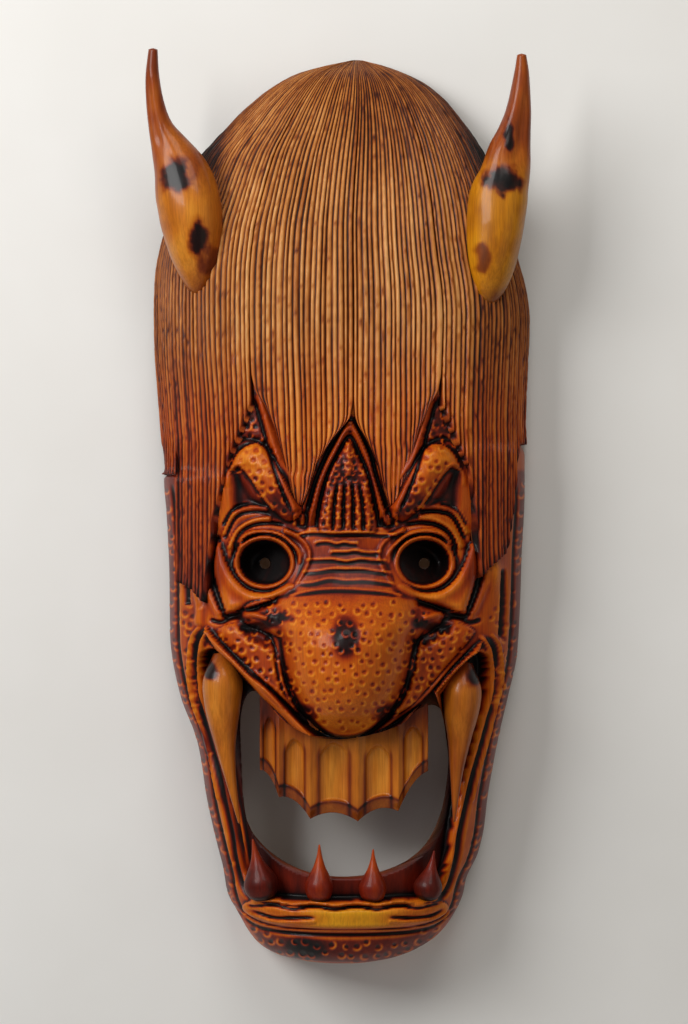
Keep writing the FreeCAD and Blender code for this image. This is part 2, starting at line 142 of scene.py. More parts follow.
def noise(x, y, seed):
    """Smooth random values from 0 to 1 over a plane, one lattice cell per unit."""
    table = np.random.default_rng(seed).random((64, 64))
    x, y = np.broadcast_arrays(x, y)
    ix, iy = np.floor(x).astype(int), np.floor(y).astype(int)
    fx, fy = ease(x - ix), ease(y - iy)
    top = table[ix % 64, iy % 64] * (1 - fx) + table[(ix + 1) % 64, iy % 64] * fx
    low = table[ix % 64, (iy + 1) % 64] * (1 - fx) + table[(ix + 1) % 64, (iy + 1) % 64] * fx
    return top * (1 - fy) + low * fy


def cloud(x, y, seed):
    """Three octaves of noise, 0 to 1."""
    return (noise(x, y, seed) * 4 + noise(x * 2.1, y * 2.1, seed + 1) * 2 + noise(x * 4.3, y * 4.3, seed + 2)) / 7


def spline(points, closed=False, steps=7):
    """Catmull-Rom curve through points, as a polyline."""
    p = np.array(points, float)
    if closed:
        p = np.vstack([p[-1], p, p[0], p[1]])
    else:
        p = np.vstack([2 * p[0] - p[1], p, 2 * p[-1] - p[-2]])
    t = np.linspace(0, 1, steps, endpoint=False)[:, None]
    out = []
    for a, b, c, d in zip(p, p[1:], p[2:], p[3:]):
        out.append(0.5 * (2 * b + (c - a) * t + (2 * a - 5 * b + 4 * c - d) * t ** 2
                          + (3 * b - a - 3 * c + d) * t ** 3))
    out.append(p[-2][None])
    return np.vstack(out)


def nearest(path, x, z):
    """For each point: distance to a path, how far along it (0 to 1), and the nearest point on it."""
    best = np.full(x.shape, 1e9)
    along, near_x, near_z = np.zeros(x.shape), np.zeros(x.shape), np.zeros(x.shape)
    span = np.diff(path, axis=0)
    length = np.maximum(np.hypot(span[:, 0], span[:, 1]), 1e-9)
    start = np.concatenate([[0], np.cumsum(length)])
    for a, s, long, begun in zip(path, span, length, start):
        t = np.clip(((x - a[0]) * s[0] + (z - a[1]) * s[1]) / long ** 2, 0, 1)
        px, pz = a[0] + t * s[0], a[1] + t * s[1]
        d = np.hypot(x - px, z - pz)
        closer = d < best
        best = np.where(closer, d, best)
        along = np.where(closer, (begun + t * long) / start[-1], along)
        near_x, near_z = np.where(closer, px, near_x), np.where(closer, pz, near_z)
    return best, along, near_x, near_z


def inside(path, x, z):
    """True for the points inside a closed path."""
    hit = np.zeros(x.shape, bool)
    for a, b in zip(path, path[1:]):
        if a[1] != b[1]:
            crosses = (a[1] > z) != (b[1] > z)
            hit ^= crosses & (x < (b[0] - a[0]) * (z - a[1]) / (b[1] - a[1]) + a[0])
    return hit


def mirror(points, side):
    """The points as they are for side 1, and on the other side of the middle line for side -1."""
    return [(side * x, z) for x, z in points]


def place(x, depth, height):
    """Points in the frame, in metres."""
    x, depth, height = np.broadcast_arrays(x, depth, height)
    return np.stack([x * MM, WALL - depth * MM, CHIN + height * MM], axis=-1).reshape(-1, 3)


# ---- meshes ----
def grid_faces(rows, cols, flip=False):
    """Quads of a grid whose points run row by row, facing the front."""
    i = np.arange(rows * cols).reshape(rows, cols)
    quads = np.stack([i[:-1, :-1], i[:-1, 1:], i[1:, 1:], i[1:, :-1]], axis=-1).reshape(-1, 4)
    return quads[:, ::-1] if flip else quads


def every(count, step):
    """Every step-th index below count, and the last one."""
    return np.unique(np.concatenate([np.arange(0, count, step), [count - 1]]))


def cut_open(quads, side):
    """Drops the part of a grid that is inside an outline; side is 1 outside, 0 on it and -1 inside."""
    s = side[quads]
    keep = quads[(s.min(axis=1) >= 0) & (s.max(axis=1) > 0)]
    faces = [tuple(q) for q in keep.tolist()]
    for q in quads[(s.min(axis=1) < 0) & (s.max(axis=1) > 0)].tolist():
        for a in range(4):
            tri = (q[a], q[(a + 1) % 4], q[(a + 2) % 4])
            ends_on = side[tri[0]] == 0 and side[tri[2]] == 0
            if ends_on and side[tri[1]] > 0:
                faces.append(tri)
    return faces


def border_loops(faces):
    """Closed loops of the edges that only one face has, in that face's direction."""
    edges = set()
    for f in faces:
        for a, b in zip(f, f[1:] + f[:1]):
            edges.add((a, b))
    follow = {a: b for a, b in edges if (b, a) not in edges}
    loops = []
    while follow:
        start, at = follow.popitem()
        loop = [start]
        while at != start:
            loop.append(at)
            at = follow.pop(at)
        loops.append(loop)
    return loops


def stitch(points, outer, inner):
    """Triangles between a loop of the front sheet and the matching loop of the back sheet."""
    inner = inner[::-1]
    a = points[outer]
    b = points[inner]
    turn = int(np.argmin(((b - a[0]) ** 2).sum(axis=1)))
    inner = inner[turn:] + inner[:turn]
    b = points[inner]

    def shares(p):
        gap = np.linalg.norm(np.roll(p, -1, axis=0) - p, axis=1)
        return np.concatenate([[0], np.cumsum(gap)]) / gap.sum()

    fa, fb = shares(a), shares(b)
    faces = []
    i = j = 0
    while i < len(outer) or j < len(inner):
        step_outer = j == len(inner) or (i < len(outer) and fa[i + 1] <= fb[j + 1])
        oi, ij = outer[i % len(outer)], inner[j % len(inner)]
        if step_outer:
            faces.append((outer[(i + 1) % len(outer)], oi, ij))
            i += 1
        else:
            faces.append((ij, inner[(j + 1) % len(inner)], oi))
            j += 1
    return faces


def close_sheets(front_points, front_faces, back_points, back_faces):
    """One closed solid from a front sheet and a back sheet, joined round every border."""
    points = np.vstack([front_points, back_points])
    shift = len(front_points)
    back_faces = [tuple(v + shift for v in f) for f in back_faces]
    back_loops = border_loops(back_faces)
    faces = front_faces + back_faces
    for loop in border_loops(front_faces):
        middle = points[loop].mean(axis=0)
        size = np.ptp(points[loop], axis=0).max()
        match = min(back_loops, key=lambda k: np.linalg.norm(points[k].mean(axis=0) - middle)
                    + abs(np.ptp(points[k], axis=0).max() - size))
        back_loops.remove(match)
        faces += stitch(points, loop, match)
    return points, faces


def make_piece(name, points, faces, body, slot_name, material, replaced, **values):
    """A smooth-shaded mesh that rides on a body, in place of the replaced nodes, with a float attribute for each
    named array."""
    used = np.zeros(len(points), bool)
    for f in faces:
        used[list(f)] = True
    order = np.cumsum(used) - 1
    mesh = bpy.data.meshes.new(name)
    mesh.from_pydata(points[used].tolist(), [], [tuple(int(order[v]) for v in f) for f in faces])
    for key, array in values.items():
        layer = mesh.attributes.new(key, "FLOAT", "POINT")
        layer.data.foreach_set("value", np.asarray(array, np.float32)[used])
    mesh.shade_smooth()
    mesh.materials.append(material)
    piece = bpy.data.objects.new(name, mesh)
    bpy.context.scene.collection.objects.link(piece)
    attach(piece, body)
    if replaced:
        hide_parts(*replaced)


# ---- the block's skin ----
def spaced_angles(pitch_at):
    """Angles round the section, from left to right, whose steps along it are about pitch_at(share) long."""
    angle = np.linspace(-math.pi / 2, math.pi / 2, 6001)
    share = np.sign(angle) * np.abs(np.sin(angle)) ** FULLNESS
    out = np.cos(angle).clip(0) ** FULLNESS
    length = np.hypot(np.diff(share) * HALF_WIDTH, np.diff(out) * BLOCK_DEPTH)
    middle = (share[1:] + share[:-1]) / 2
    count = np.concatenate([[0], np.cumsum(length / pitch_at(np.abs(middle)))])
    wanted = np.linspace(0, count[-1], int(count[-1]) + 1)
    return np.interp(wanted, count, angle)


def half_widths(height, lift=0.0):
    """The x that a section is built round, and its half widths to the left and to the right of that."""
    middle = CROWN_X * ease((height - 480) / 110)
    left = smooth(LEFT_EDGE, height) * SPREAD + lift + middle
    right = smooth(RIGHT_EDGE, height) * SPREAD + lift - middle
    return middle, left, right


def section(angle, height, lift=0.0):
    """x and depth of the bare block's skin, grown outwards by lift."""
    share = np.sign(angle) * np.abs(np.sin(angle)) ** FULLNESS
    middle, left, right = half_widths(height, lift)
    x = middle + share * np.where(share < 0, left, right)
    depth = (smooth(DEPTHS, height) + lift) * np.cos(angle).clip(0) ** FULLNESS
    return x, depth


def crown(height):
    """Heights with the top of the head drawn up a little."""
    return height + CROWN_RISE * ease((height - 548) / 48)


def skin_depth(x, height):
    """Depth of the bare skin at points of the front."""
    share = np.abs(x) / np.where(x < 0, smooth(LEFT_EDGE, height), smooth(RIGHT_EDGE, height)) / SPREAD
    return smooth(DEPTHS, height) * (1 - np.clip(share, 0, 1) ** SQUARENESS) ** (1 / SQUARENESS)


def snap(x, z, path, reach):
    """Moves the points within reach of a closed path onto it; gives each point's side of the path."""
    d, _, near_x, near_z = nearest(path, x, z)
    on = d < reach
    side = np.where(inside(path, x, z), -1, 1)
    side[on] = 0
    return np.where(on, near_x, x), np.where(on, near_z, z), side


# ---- relief: what is carved on the skin ----
class Relief:
    """At the points of a sheet: the carving's height over the skin, how dark it is from scorching and from painted
    shade and highlights, and its tint.
    """

    def __init__(self, x, z):
        self.x, self.z = x, z
        self.out = np.zeros(x.shape)
        self.burn = np.full(x.shape, 0.34)
        self.tint = np.zeros(x.shape)

    def window(self, points, margin):
        """Indices of the sheet's points near some points."""
        p = np.asarray(points)
        low, high = p.min(axis=0) - margin, p.max(axis=0) + margin
        return np.where((self.x > low[0]) & (self.x < high[0]) & (self.z > low[1]) & (self.z < high[1]))

    def add(self, w, height, shape, burn):
        """Adds a shape of full height at the points w, and moves the colour value (scorching and painted shade) towards
        the given one if one is given.
        """
        self.out[w] += height * shape
        if burn is not None:
            self.burn[w] += (burn - self.burn[w]) * np.clip(shape * 1.5, 0, 1)

    def stroke(self, points, width, height, burn=None, fade=0.12):
        """A rounded ridge, or a V-shaped groove if height is negative, along a curve that thins out at its ends."""
        path = spline(points)
        w = self.window(path, width * 3)
        d, along, _, _ = nearest(path, self.x[w], self.z[w])
        ends = ease(along / fade) * ease((1 - along) / fade)
        if height < 0:
            shape = np.clip(1 - d / (1.9 * width), 0, 1) * ends
        else:
            shape = np.exp(-(d / width) ** 2.0) * ends
        self.add(w, height, shape, burn)

    def crest(self, points, inner, outer, height, burn=None, fade=0.05):
        """A crisp ridge along a curve: steep for outer mm to the left of its run, easy for inner mm to the right."""
        path = spline(points)
        w = self.window(path, max(inner, outer) * 1.5)
        x, z = self.x[w], self.z[w]
        d, along, near_x, near_z = nearest(path, x, z)
        step = np.diff(path, axis=0)
        at = np.clip((along * len(step)).astype(int), 0, len(step) - 1)
        left = step[at, 0] * (z - near_z) - step[at, 1] * (x - near_x) > 0
        ends = ease(along / fade) * ease((1 - along) / fade)
        shape = np.clip(1 - d / np.where(left, outer, inner), 0, 1) ** 1.2 * ends
        self.add(w, height, shape, burn)

    def region(self, points, height, soft, burn=None, dome=False):
        """Raises (or sinks) the inside of a closed curve, with edges soft mm wide."""
        path = spline(points, closed=True)
        w = self.window(path, 2)
        d, _, _, _ = nearest(path, self.x[w], self.z[w])
        d = np.where(inside(path, self.x[w], self.z[w]), d, -d)
        share = np.clip(d / soft, 0, 1)
        shape = np.sqrt(1 - (1 - share) ** 2) if dome else ease(share)
        self.out[w] += height * shape
        if burn is not None:
            self.burn[w] += (burn - self.burn[w]) * ease(d / 2.5 + 0.3)

    def swell(self, centre, half, height, turn=0.0, burn=None):
        """A soft round swelling or dip."""
        c, s = math.cos(math.radians(turn)), math.sin(math.radians(turn))
        dx, dz = self.x - centre[0], self.z - centre[1]
        r = ((dx * c + dz * s) / half[0]) ** 2 + ((dz * c - dx * s) / half[1]) ** 2
        shape = np.exp(-r * 1.6)
        self.out += height * shape
        if burn is not None:
            self.burn += (burn - self.burn) * np.clip(np.exp(-r ** 2) * 1.1, 0, 1)

    def punches(self, points, pitch, size, depth, seed):
        """Rows of small dents inside a closed curve, each with a raised edge."""
        path = spline(points, closed=True)
        low, high = path.min(axis=0), path.max(axis=0)
        random = np.random.default_rng(seed)
        rows = np.arange(low[1], high[1], pitch * 0.87)
        for k, z in enumerate(rows):
            xs = np.arange(low[0] + pitch / 2 * (k % 2), high[0], pitch)
            for x in xs:
                px, pz = x + random.uniform(-1, 1) * pitch * 0.27, z + random.uniform(-1, 1) * pitch * 0.27
                turn = random.uniform(-1.3, 1.3)
                if inside(path, np.array([px]), np.array([pz]))[0]:
                    self.dent(px, pz, size * random.uniform(0.75, 1.1), depth * random.uniform(0.7, 1.2), turn)

    def dent(self, px, pz, size, depth, turn):
        """A shallow cup with a raised side. Its colour gets painted shade on the far side of the cup and a painted
        highlight on the raised side; in dark places that lighter side also stands for the paler wood the punch opens.
        """
        w = self.window([(px, pz)], size * 1.5)
        dx, dz = self.x[w] - px, self.z[w] - pz
        r = np.hypot(dx, dz) / size
        toward = (dx * math.sin(turn) + dz * math.cos(turn)) / (r * size + 0.05)
        cup = ease((0.8 - r) / 0.5)
        # painted shade on one side of the cup, painted highlight on the raised side
        dark = np.exp(-((r - 0.5) / 0.3) ** 2) * ease(0.4 + toward * 0.75)
        lit_raised_side = np.exp(-((r - 0.75) / 0.28) ** 2) * ease(0.4 - toward * 0.75)
        base = self.burn[w]
        self.out[w] += lit_raised_side * depth * 0.4 - depth * cup * 0.5
        self.burn[w] += dark * np.clip(0.7 - base, 0, 0.2) - lit_raised_side * np.clip(base - 0.1, 0, 0.45)


def carve_eye(r, centre, side):
    """Round socket with a thin rim, a lid that droops to the nose, an outer lid and folds up to the temple."""
    dx, dz = side * (r.x - centre[0]), r.z - centre[1]
    ring = np.hypot(dx / EYE_HALF[0], dz / EYE_HALF[1])
    r.out -= 6.0 * np.exp(-(ring / 2.4) ** 4)
    r.out += 6.5 * np.exp(-((ring - 1.12) / 0.1) ** 2) + 3.0 * np.exp(-((ring - 1.5) / 0.35) ** 2)
    r.out -= 17.0 * np.clip(1 - ring ** 3, 0, 1)
    r.burn += (0.52 - r.burn) * np.exp(-((ring - 1.14) / 0.12) ** 2)
    r.burn += (1.0 - r.burn) * ease((1.05 - ring) / 0.09)
    upper = ease((dz + 2) / 8)
    r.out -= 3.5 * upper * np.exp(-((ring - 1.27) / 0.07) ** 2)
    r.burn += (1.0 - r.burn) * upper * np.exp(-((ring - 1.28) / 0.07) ** 2)

    def put(points):
        return [(centre[0] + side * x, centre[1] + z) for x, z in points]

    corner = put([(-18, 12), (-22, 9), (-26.5, 1), (-24.5, -6), (-19, -14), (-22, -2), (-21, 6)])
    r.region(corner, -4.0, 2.5, burn=1.0)
    r.crest(put([(18, 8), (12, 17.5), (1, 20), (-10, 18), (-17, 13), (-22.5, 7), (-24, -2)]), 2.6, 1.8, 5.5, 0.52)
    r.crest(put([(-12, 21.5), (-22, 17), (-28.5, 10), (-29.5, 2), (-25, -8), (-18, -19)]), 2.8, 1.8, 5.5, 0.58)
    r.stroke(put([(22, 6), (17, 18), (8, 24), (-4, 25.5), (-14, 24)]), 1.0, -3.4, 0.95)
    r.stroke(put([(27, 14), (19, 29), (8, 33), (-5, 32)]), 1.0, -3.2, 0.92)
    r.stroke(put([(28, 23), (20, 35), (9, 38.5)]), 0.9, -2.2, 0.85)
    for fold in ([(24, 8), (17.5, 21), (7, 27.5), (-5, 29)], [(27.5, 17), (20, 31.5), (8, 36), (-3, 35)]):
        r.crest(put(fold), 5.0, 1.5, 3.2, 0.32)


def carve_brow(r, side, seed):
    """Smooth punched band that runs from the temple down to the bridge, over a shaded hollow."""
    band = mirror([(75, 325), (72, 334), (65, 341), (56, 342), (48, 334), (41, 321), (34, 308), (28, 300), (31, 294),
                   (38, 292), (46, 298), (54, 307), (61, 318), (68, 326)], side)
    hollow = mirror([(76, 322), (71, 327), (64, 321), (57, 311), (50, 302), (52, 298), (62, 299), (70, 296), (76, 302)],
                    side)
    r.region(hollow, -5.0, 8.0, burn=0.6)
    r.region(band, 8.5, 11.0, burn=0.44, dome=True)
    r.swell((side * 40, 303), (11, 12), 0.0, burn=0.85)
    r.swell((side * 60, 330), (12, 7), 0.0, burn=0.26, turn=side * 35)
    r.crest(mirror([(77, 314), (76, 324), (70, 329), (62, 321), (54, 309), (46, 298)], side), 1.6, 1.6, 2.0, 0.46)
    r.punches(band, 7.6, 3.1, 1.3, seed)
    r.stroke(mirror([(80, 328), (73, 342), (62, 346), (52, 341), (42, 326), (27, 302)], side), 1.2, -2.6, 0.85)
    dark = mirror([(35, 298), (34, 290), (26, 286), (22, 292), (27, 301)], side)
    r.region(dark, -1.5, 2.0, burn=1.0)
    for x in (32.6, 27.6):
        r.stroke(mirror([(x, 297), (x + 0.5, 289)], side), 1.1, 2.0, 0.1)


def carve_bag(r, side):
    """Flat-faced bag under the eye, with a hard lower edge."""
    bag = mirror([(83.5, 280), (86, 268), (86, 256), (79.5, 236), (77, 232.5), (66, 235), (52, 239.5), (40, 244),
                  (33, 250), (38, 252), (50, 246), (62, 247), (71, 254), (77, 264)], side)
    r.region(bag, 8.0, 5.0, burn=0.4, dome=True)
    r.swell((side * 84, 262), (8, 17), 0.0, burn=0.72)
    r.swell((side * 62, 240), (13, 4), 0.0, burn=0.26, turn=-side * 20)
    r.stroke(mirror([(82, 284), (88, 270), (88.5, 254), (81, 234), (77, 229.5), (62, 234), (40, 242), (30, 249)], side),
             1.3, -4.0, 0.97, fade=0.06)
    r.stroke(mirror([(90, 268), (92, 252), (85, 234), (79, 226)], side), 2.2, 2.0, 0.5)


def carve_panel(r):
    """Pointed panel between the brows, with ribs below and a keel above, inside a plain border."""
    panel = [(2, 344), (-6, 333), (-12, 321), (-16, 303), (-17.5, 285), (2, 283), (20.5, 285), (18, 303), (14.5, 321),
             (9, 333)]
    r.region(panel, 4.0, 2.0, burn=0.78)
    r.crest([(-25, 286), (-21, 301), (-16, 319), (-8, 336), (3, 353), (13, 336), (18, 319), (24, 299), (28, 286)],
            3.2, 1.6, 4.5, 0.7)
    r.stroke([(-28, 292), (-24, 303), (-19, 320), (-10, 340), (3, 359), (15, 340), (20, 322), (27, 301), (31, 292)],
             1.2, -4.0, 1.0, fade=0.05)
    r.stroke([(-19, 286), (-17, 303), (-12, 321), (-5.5, 335), (2.5, 347), (9.5, 335), (15.5, 321), (19.5, 303),
              (22, 286)], 0.9, -3.0, 0.97, fade=0.05)
    r.crest([(2, 344), (2, 321)], 4.0, 4.0, 2.4, 0.62)
    for k in range(5):
        x = -11.5 + 6.6 * k
        r.stroke([(x, 285), (x * 0.98 + 0.2, 300), (x * 0.72 + 0.6, 319 - abs(k - 2) * 2)], 1.5, 2.0, 0.7)
    r.punches(panel, 4.6, 2.3, 1.0, 31)
    for k in range(4):
        x = -8.2 + 6.6 * k
        r.stroke([(x, 285), (x * 0.9 + 0.3, 304), (x * 0.7 + 0.6, 317)], 0.75, -2.6, 1.0)


def carve_bridge(r):
    """Deep irregular wrinkles across the root of the nose."""
    r.swell((0, 264), (31, 24), 5.0, burn=0.56)
    wobble = np.random.default_rng(12)
    wrinkles = [(283.5, 33, 35, 2.0, 2.4), (277, 21, 9, 1.0, 1.2), (271, 11, 24, 0.5, 1.4), (265.5, 27, 28, 1.5, 2.6),
                (259.5, 29, 31, 2.5, 3.0), (253, 33, 34, 3.5, 3.0), (246.5, 38, 38, 4.0, 3.0)]
    for height, left, right, drop, deep in wrinkles:
        xs = np.linspace(-left, right, 7)
        line = [(x, height - drop * (x / 36) ** 2 + wobble.uniform(-0.8, 0.8)) for x in xs]
        r.crest([(x, z + 1.9) for x, z in line], 3.0, 1.2, 1.8, 0.26)
        r.stroke(line, 0.9, -deep, 0.98)
    r.crest([(-38, 241.5), (-20, 242.5), (0, 241.5), (20, 242.3), (37, 241)], 2.0, 2.0, 1.6, 0.3)


def carve_nose(r):
    """One heavy punched bulb that grows out of a saddle between both cheeks."""
    saddle = [(-64, 238), (-46, 242), (-20, 243), (0, 243.5), (20, 243), (38, 242), (58, 236), (64, 228), (50, 217),
              (20, 208), (-20, 208), (-44, 217), (-66, 226)]
    r.region(saddle, 10.0, 9.0, burn=0.5, dome=True)
    rise = smooth([(153, 0), (156, 6), (161, 17), (169, 28), (180, 36), (195, 40.5), (210, 40.5), (222, 36), (232, 27),
                   (241, 18), (252, 10), (266, 4), (288, 0)], r.z)
    half = smooth([(153, 8), (156, 14), (161, 20), (169, 28), (180, 34.5), (190, 38.5), (205, 42), (215, 43.5),
                   (226, 47), (240, 46), (252, 40), (266, 32), (288, 24)], r.z)
    share = np.abs(r.x - 1.2) / half
    bulb = rise * np.clip(1 - share ** 2.2, 0, 1) ** 0.66 - np.clip(share - 1, 0, 2) * 26
    bulb = np.where((r.z > 152) & (r.z < 288), bulb, -30)
    soft = 2.0
    merged = soft * np.logaddexp(r.out / soft, bulb / soft)
    over = ease((bulb - r.out + 4) / 8)
    r.out = np.where(bulb > r.out - 12, merged, r.out)
    r.burn += (0.27 - r.burn) * over * ease((246 - r.z) / 8)
    # Painted shade: the bulb darkens towards its sides below the saddle.
    r.burn += 0.34 * over * ease((share - 0.72) / 0.28) * ease((240 - r.z) / 20)
    for side in (-1, 1):
        r.swell((side * 58, 233), (13, 8), 0.0, burn=0.7)
    below = [(-43, 206), (-40, 192), (-36, 180), (-28, 166), (-14, 154), (1, 150.5), (16, 155), (29, 166), (37, 178),
             (41, 190), (44, 204)]
    r.stroke(below, 1.0, -3.6, 0.74, fade=0.12)
    r.stroke(below[2:-2], 2.0, -5.0, 1.0, fade=0.25)
    for x, z, wide, high in ((0, 218, 9, 13), (-27, 168, 9, 6), (26, 168, 8, 7), (-46, 230, 12, 3)):
        r.swell((x, z), (wide, high), 0.0, burn=1.0)
    r.swell((0, 221), (5, 7), 1.4)
    bulb_outline = [(-58, 238), (-30, 240), (0, 240), (30, 240), (56, 234), (44, 214), (42, 198), (35, 178), (18, 162),
                    (1, 158), (-14, 161), (-28, 172), (-38, 190), (-43, 208), (-50, 224)]
    r.punches(bulb_outline, 7.2, 2.7, 1.1, 11)


def carve_cheek(r, side):
    """Hollow beside the nose and the punched fold between it and the lip."""
    fold = mirror([(84, 221), (70, 226), (58, 222), (48, 214), (42, 200), (38, 184), (30, 168), (40, 170), (54, 184),
                   (68, 200), (80, 213)], side)
    r.region(fold, 4.0, 8.0, burn=0.48, dome=True)
    r.region(mirror([(72, 227), (58, 228), (48, 222), (44, 212), (50, 207), (60, 211), (70, 218)], side), -5.0, 7.0,
             burn=0.6)
    r.swell((side * 55, 224), (12, 3.5), -1.5, turn=-side * 10, burn=1.0)
    edge = mirror([(50, 224), (46, 217), (43.5, 208), (42, 196), (38, 183), (31, 170)], side)
    r.stroke([(x + side * 2.2, z - 1) for x, z in edge], 1.0, -2.2, 0.62)
    r.punches(fold, 6.8, 2.9, 1.1, 40 + side)
    r.crest(mirror([(84, 232), (74, 233), (62, 232), (50, 229)], side), 2.5, 2.5, 2.5, 0.55)
    r.stroke(mirror([(90, 228), (82, 226), (72, 229), (60, 227)], side), 1.1, -2.6, 0.9)


def carve_mouth(r):
    """Lip with a crisp edge, the rims that run down the jaw, the sunken gum and the lower lip."""
    gum = [(0, 140), (28, 149), (47, 166), (64, 188), (82, 205), (92, 205), (95, 192), (92, 168), (84, 140), (77, 112),
           (72, 90), (69, 68), (64, 52), (54, 45), (0, 43.5), (-54, 45), (-66, 54), (-71, 68), (-75, 90), (-80, 112),
           (-87, 140), (-94, 168), (-97, 192), (-93, 207), (-82, 207), (-62, 188), (-45, 166), (-24, 149)]
    r.region(gum, -13.0, 2.5, burn=0.8)
    r.burn -= 0.16 * ease((75 - r.z) / 20) * (r.out < -5)
    lip = [(-92, 221), (-84, 213), (-74, 202.5), (-62, 190.5), (-50, 181), (-37, 168.5), (-22, 153), (-7, 144.5),
           (7, 143), (26, 152.5), (48, 169), (67, 190), (79, 202), (89, 211)]
    r.region([(-92, 223), (-74, 206), (-50, 184), (-22, 157), (0, 149), (26, 157), (50, 173), (68, 193), (88, 213),
              (84, 203), (70, 187), (52, 167), (29, 148), (6, 138), (-7, 138.5), (-25, 149), (-40, 164), (-54, 177),
              (-66, 187), (-79, 199)], 9.0, 3.0, burn=0.5, dome=True)
    r.crest(lip, 4.0, 1.6, 3.6, 0.42, fade=0.03)
    r.stroke([(x * 1.01, z + 3.4) for x, z in lip], 0.9, -3.0, 0.85, fade=0.1)
    r.stroke([(-54, 188), (-40, 175), (-23, 159), (-8, 149.5), (8, 148.5), (27, 158), (49, 174), (56, 182)], 1.9, -5.0,
             1.0, fade=0.2)
    r.crest([(x * 1.02, z + 6.8) for x, z in lip[3:-2]], 2.2, 2.2, 1.8, 0.5)
    for side, bend in ((-1, 0), (1, -5)):
        groove = mirror([(91, 222 + bend), (97, 214 + bend), (99, 203 + bend), (99.5, 190), (98, 176), (93, 158),
                         (88, 140), (83, 122), (79, 104), (75, 86), (72.5, 68), (67, 50), (58, 41)], side)
        r.stroke([(x + side * 0.6, z) for x, z in groove], 1.6, -4.5, 0.92, fade=0.05)
        r.crest([(x - side * 3.8, z + 1.0) for x, z in groove], 2.2, 2.2, 5.0, 0.4, fade=0.03)
        r.crest([(x + side * 4.2, z + 1.5) for x, z in groove[:9]], 1.6, 1.6, 2.6, 0.36, fade=0.03)
    r.region([(-62, 42), (-30, 41), (0, 40.5), (32, 41), (62, 42), (66, 34), (52, 27.5), (20, 26), (-20, 26),
              (-50, 27.5), (-66, 34)], 5.5, 4.0, burn=0.3, dome=True)
    centre = ease((38 - np.abs(r.x - 3)) / 30) * ease((r.z - 26) / 4) * ease((42 - r.z) / 4)
    r.tint += centre * 0.85
    r.burn += (0.1 - r.burn) * centre
    wavy = [(x, 43.5 + 0.9 * math.sin(x * 0.23)) for x in range(-64, 66, 6)]
    r.crest(wavy, 2.6, 1.6, 5.5, 0.36, fade=0.03)
    r.stroke([(x, z - 3.4) for x, z in wavy], 0.6, -2.0, 0.9, fade=0.03)
    for ends in ([(-62, 37), (-48, 33), (-34, 33.5), (-18, 34.5)], [(27, 34.5), (44, 33), (56, 33.5), (64, 38)]):
        r.stroke(ends, 0.8, -3.4, 1.0, fade=0.25)
        r.crest([(x * 1.02, z - 2.6) for x, z in ends], 2.0, 1.2, 1.6, 0.36)
    r.crest([(-72, 36), (-60, 28), (-40, 25.5), (0, 25), (40, 25.5), (60, 28), (72, 36)], 2.0, 1.4, 3.0, 0.36)
    r.stroke([(-76, 36), (-62, 25), (-40, 22.5), (0, 22), (40, 22.5), (60, 25), (75, 36)], 0.9, -2.6, 0.85, fade=0.05)
    chin = [(-64, 24), (-40, 20), (0, 19), (40, 20), (62, 24), (56, 12), (44, 4), (20, 1.5), (-20, 1.5), (-45, 4),
            (-56, 12)]
    r.region(chin, 0.0, 4.0, burn=0.64)
    r.swell((-27, 12), (13, 8), 0.0, burn=1.0)
    r.punches(chin, 8.0, 3.2, 1.2, 51)


def carve_sides(r):
    """Punched strips down both edges, the ear knob, the slits beside the hair's ends and the hair's dark border."""
    for side in (-1, 1):
        edge = LEFT_EDGE if side < 0 else RIGHT_EDGE
        outer = smooth(edge, r.z) * SPREAD
        wide = np.interp(r.z, (20, 110, 170, 230, 326), (6.5, 7.5, 7.5, 8.5, 10))
        share = ease((side * r.x - outer + wide) / 2.0) * ease((r.z - 18) / 14) * ease((328 - r.z) / 4)
        r.burn += (0.64 - r.burn) * share
        run = np.arange(30, 322, 9.0)
        rim = smooth(edge, run) * SPREAD
        strip = [(x, z) for x, z in zip(rim - 1, run)]
        strip += [(x - 6.5, z) for x, z in strip][::-1]
        r.punches(mirror(strip, side), 6.6, 2.9, 0.7, 61 + side)
        line = [(x - 6.8, z) for x, z in zip(rim, run)]
        r.stroke(mirror(line, side), 0.9, -2.2, 0.85, fade=0.03)
        beside = [(106, 244), (109, 210), (103, 170), (97, 172), (101, 200), (100, 222), (93, 232)]
        r.region(mirror(beside, side), 0.0, 2.0, burn=0.36)
        r.punches(mirror(beside, side), 6.6, 2.9, 0.9, 71 + side)
        arch = mirror([(80, 326), (70, 350), (59, 378), (50, 350), (44, 330), (54, 341), (66, 340)], side)
        r.region(arch, -1.0, 2.0, burn=0.74)
        r.punches(arch, 6.4, 2.9, 1.2, 81 + side)
        border = mirror([(58, 378), (52, 358), (45, 336), (38, 315), (30, 294), (25.5, 303)], side)
        r.crest(border, 4.6, 4.6, 3.6, 0.6)
        r.stroke(mirror([(60, 374), (55, 356), (49.5, 336), (42, 314), (33, 294)], side), 0.9, -2.6, 0.98)
        r.crest(mirror([(82, 328), (72, 350), (61, 376)], side), 2.5, 2.5, 2.5, 0.55)
    r.swell((97, 258), (7, 13), 5.0)
    r.stroke([(103.5, 262), (104.5, 240), (103, 213)], 1.5, -5.0, 1.0)
    r.stroke([(-105, 250), (-104.5, 236)], 1.3, -5.0, 1.0)
    r.stroke([(-100, 252), (-96, 236), (-97, 222)], 2.5, 3.0, 0.4)


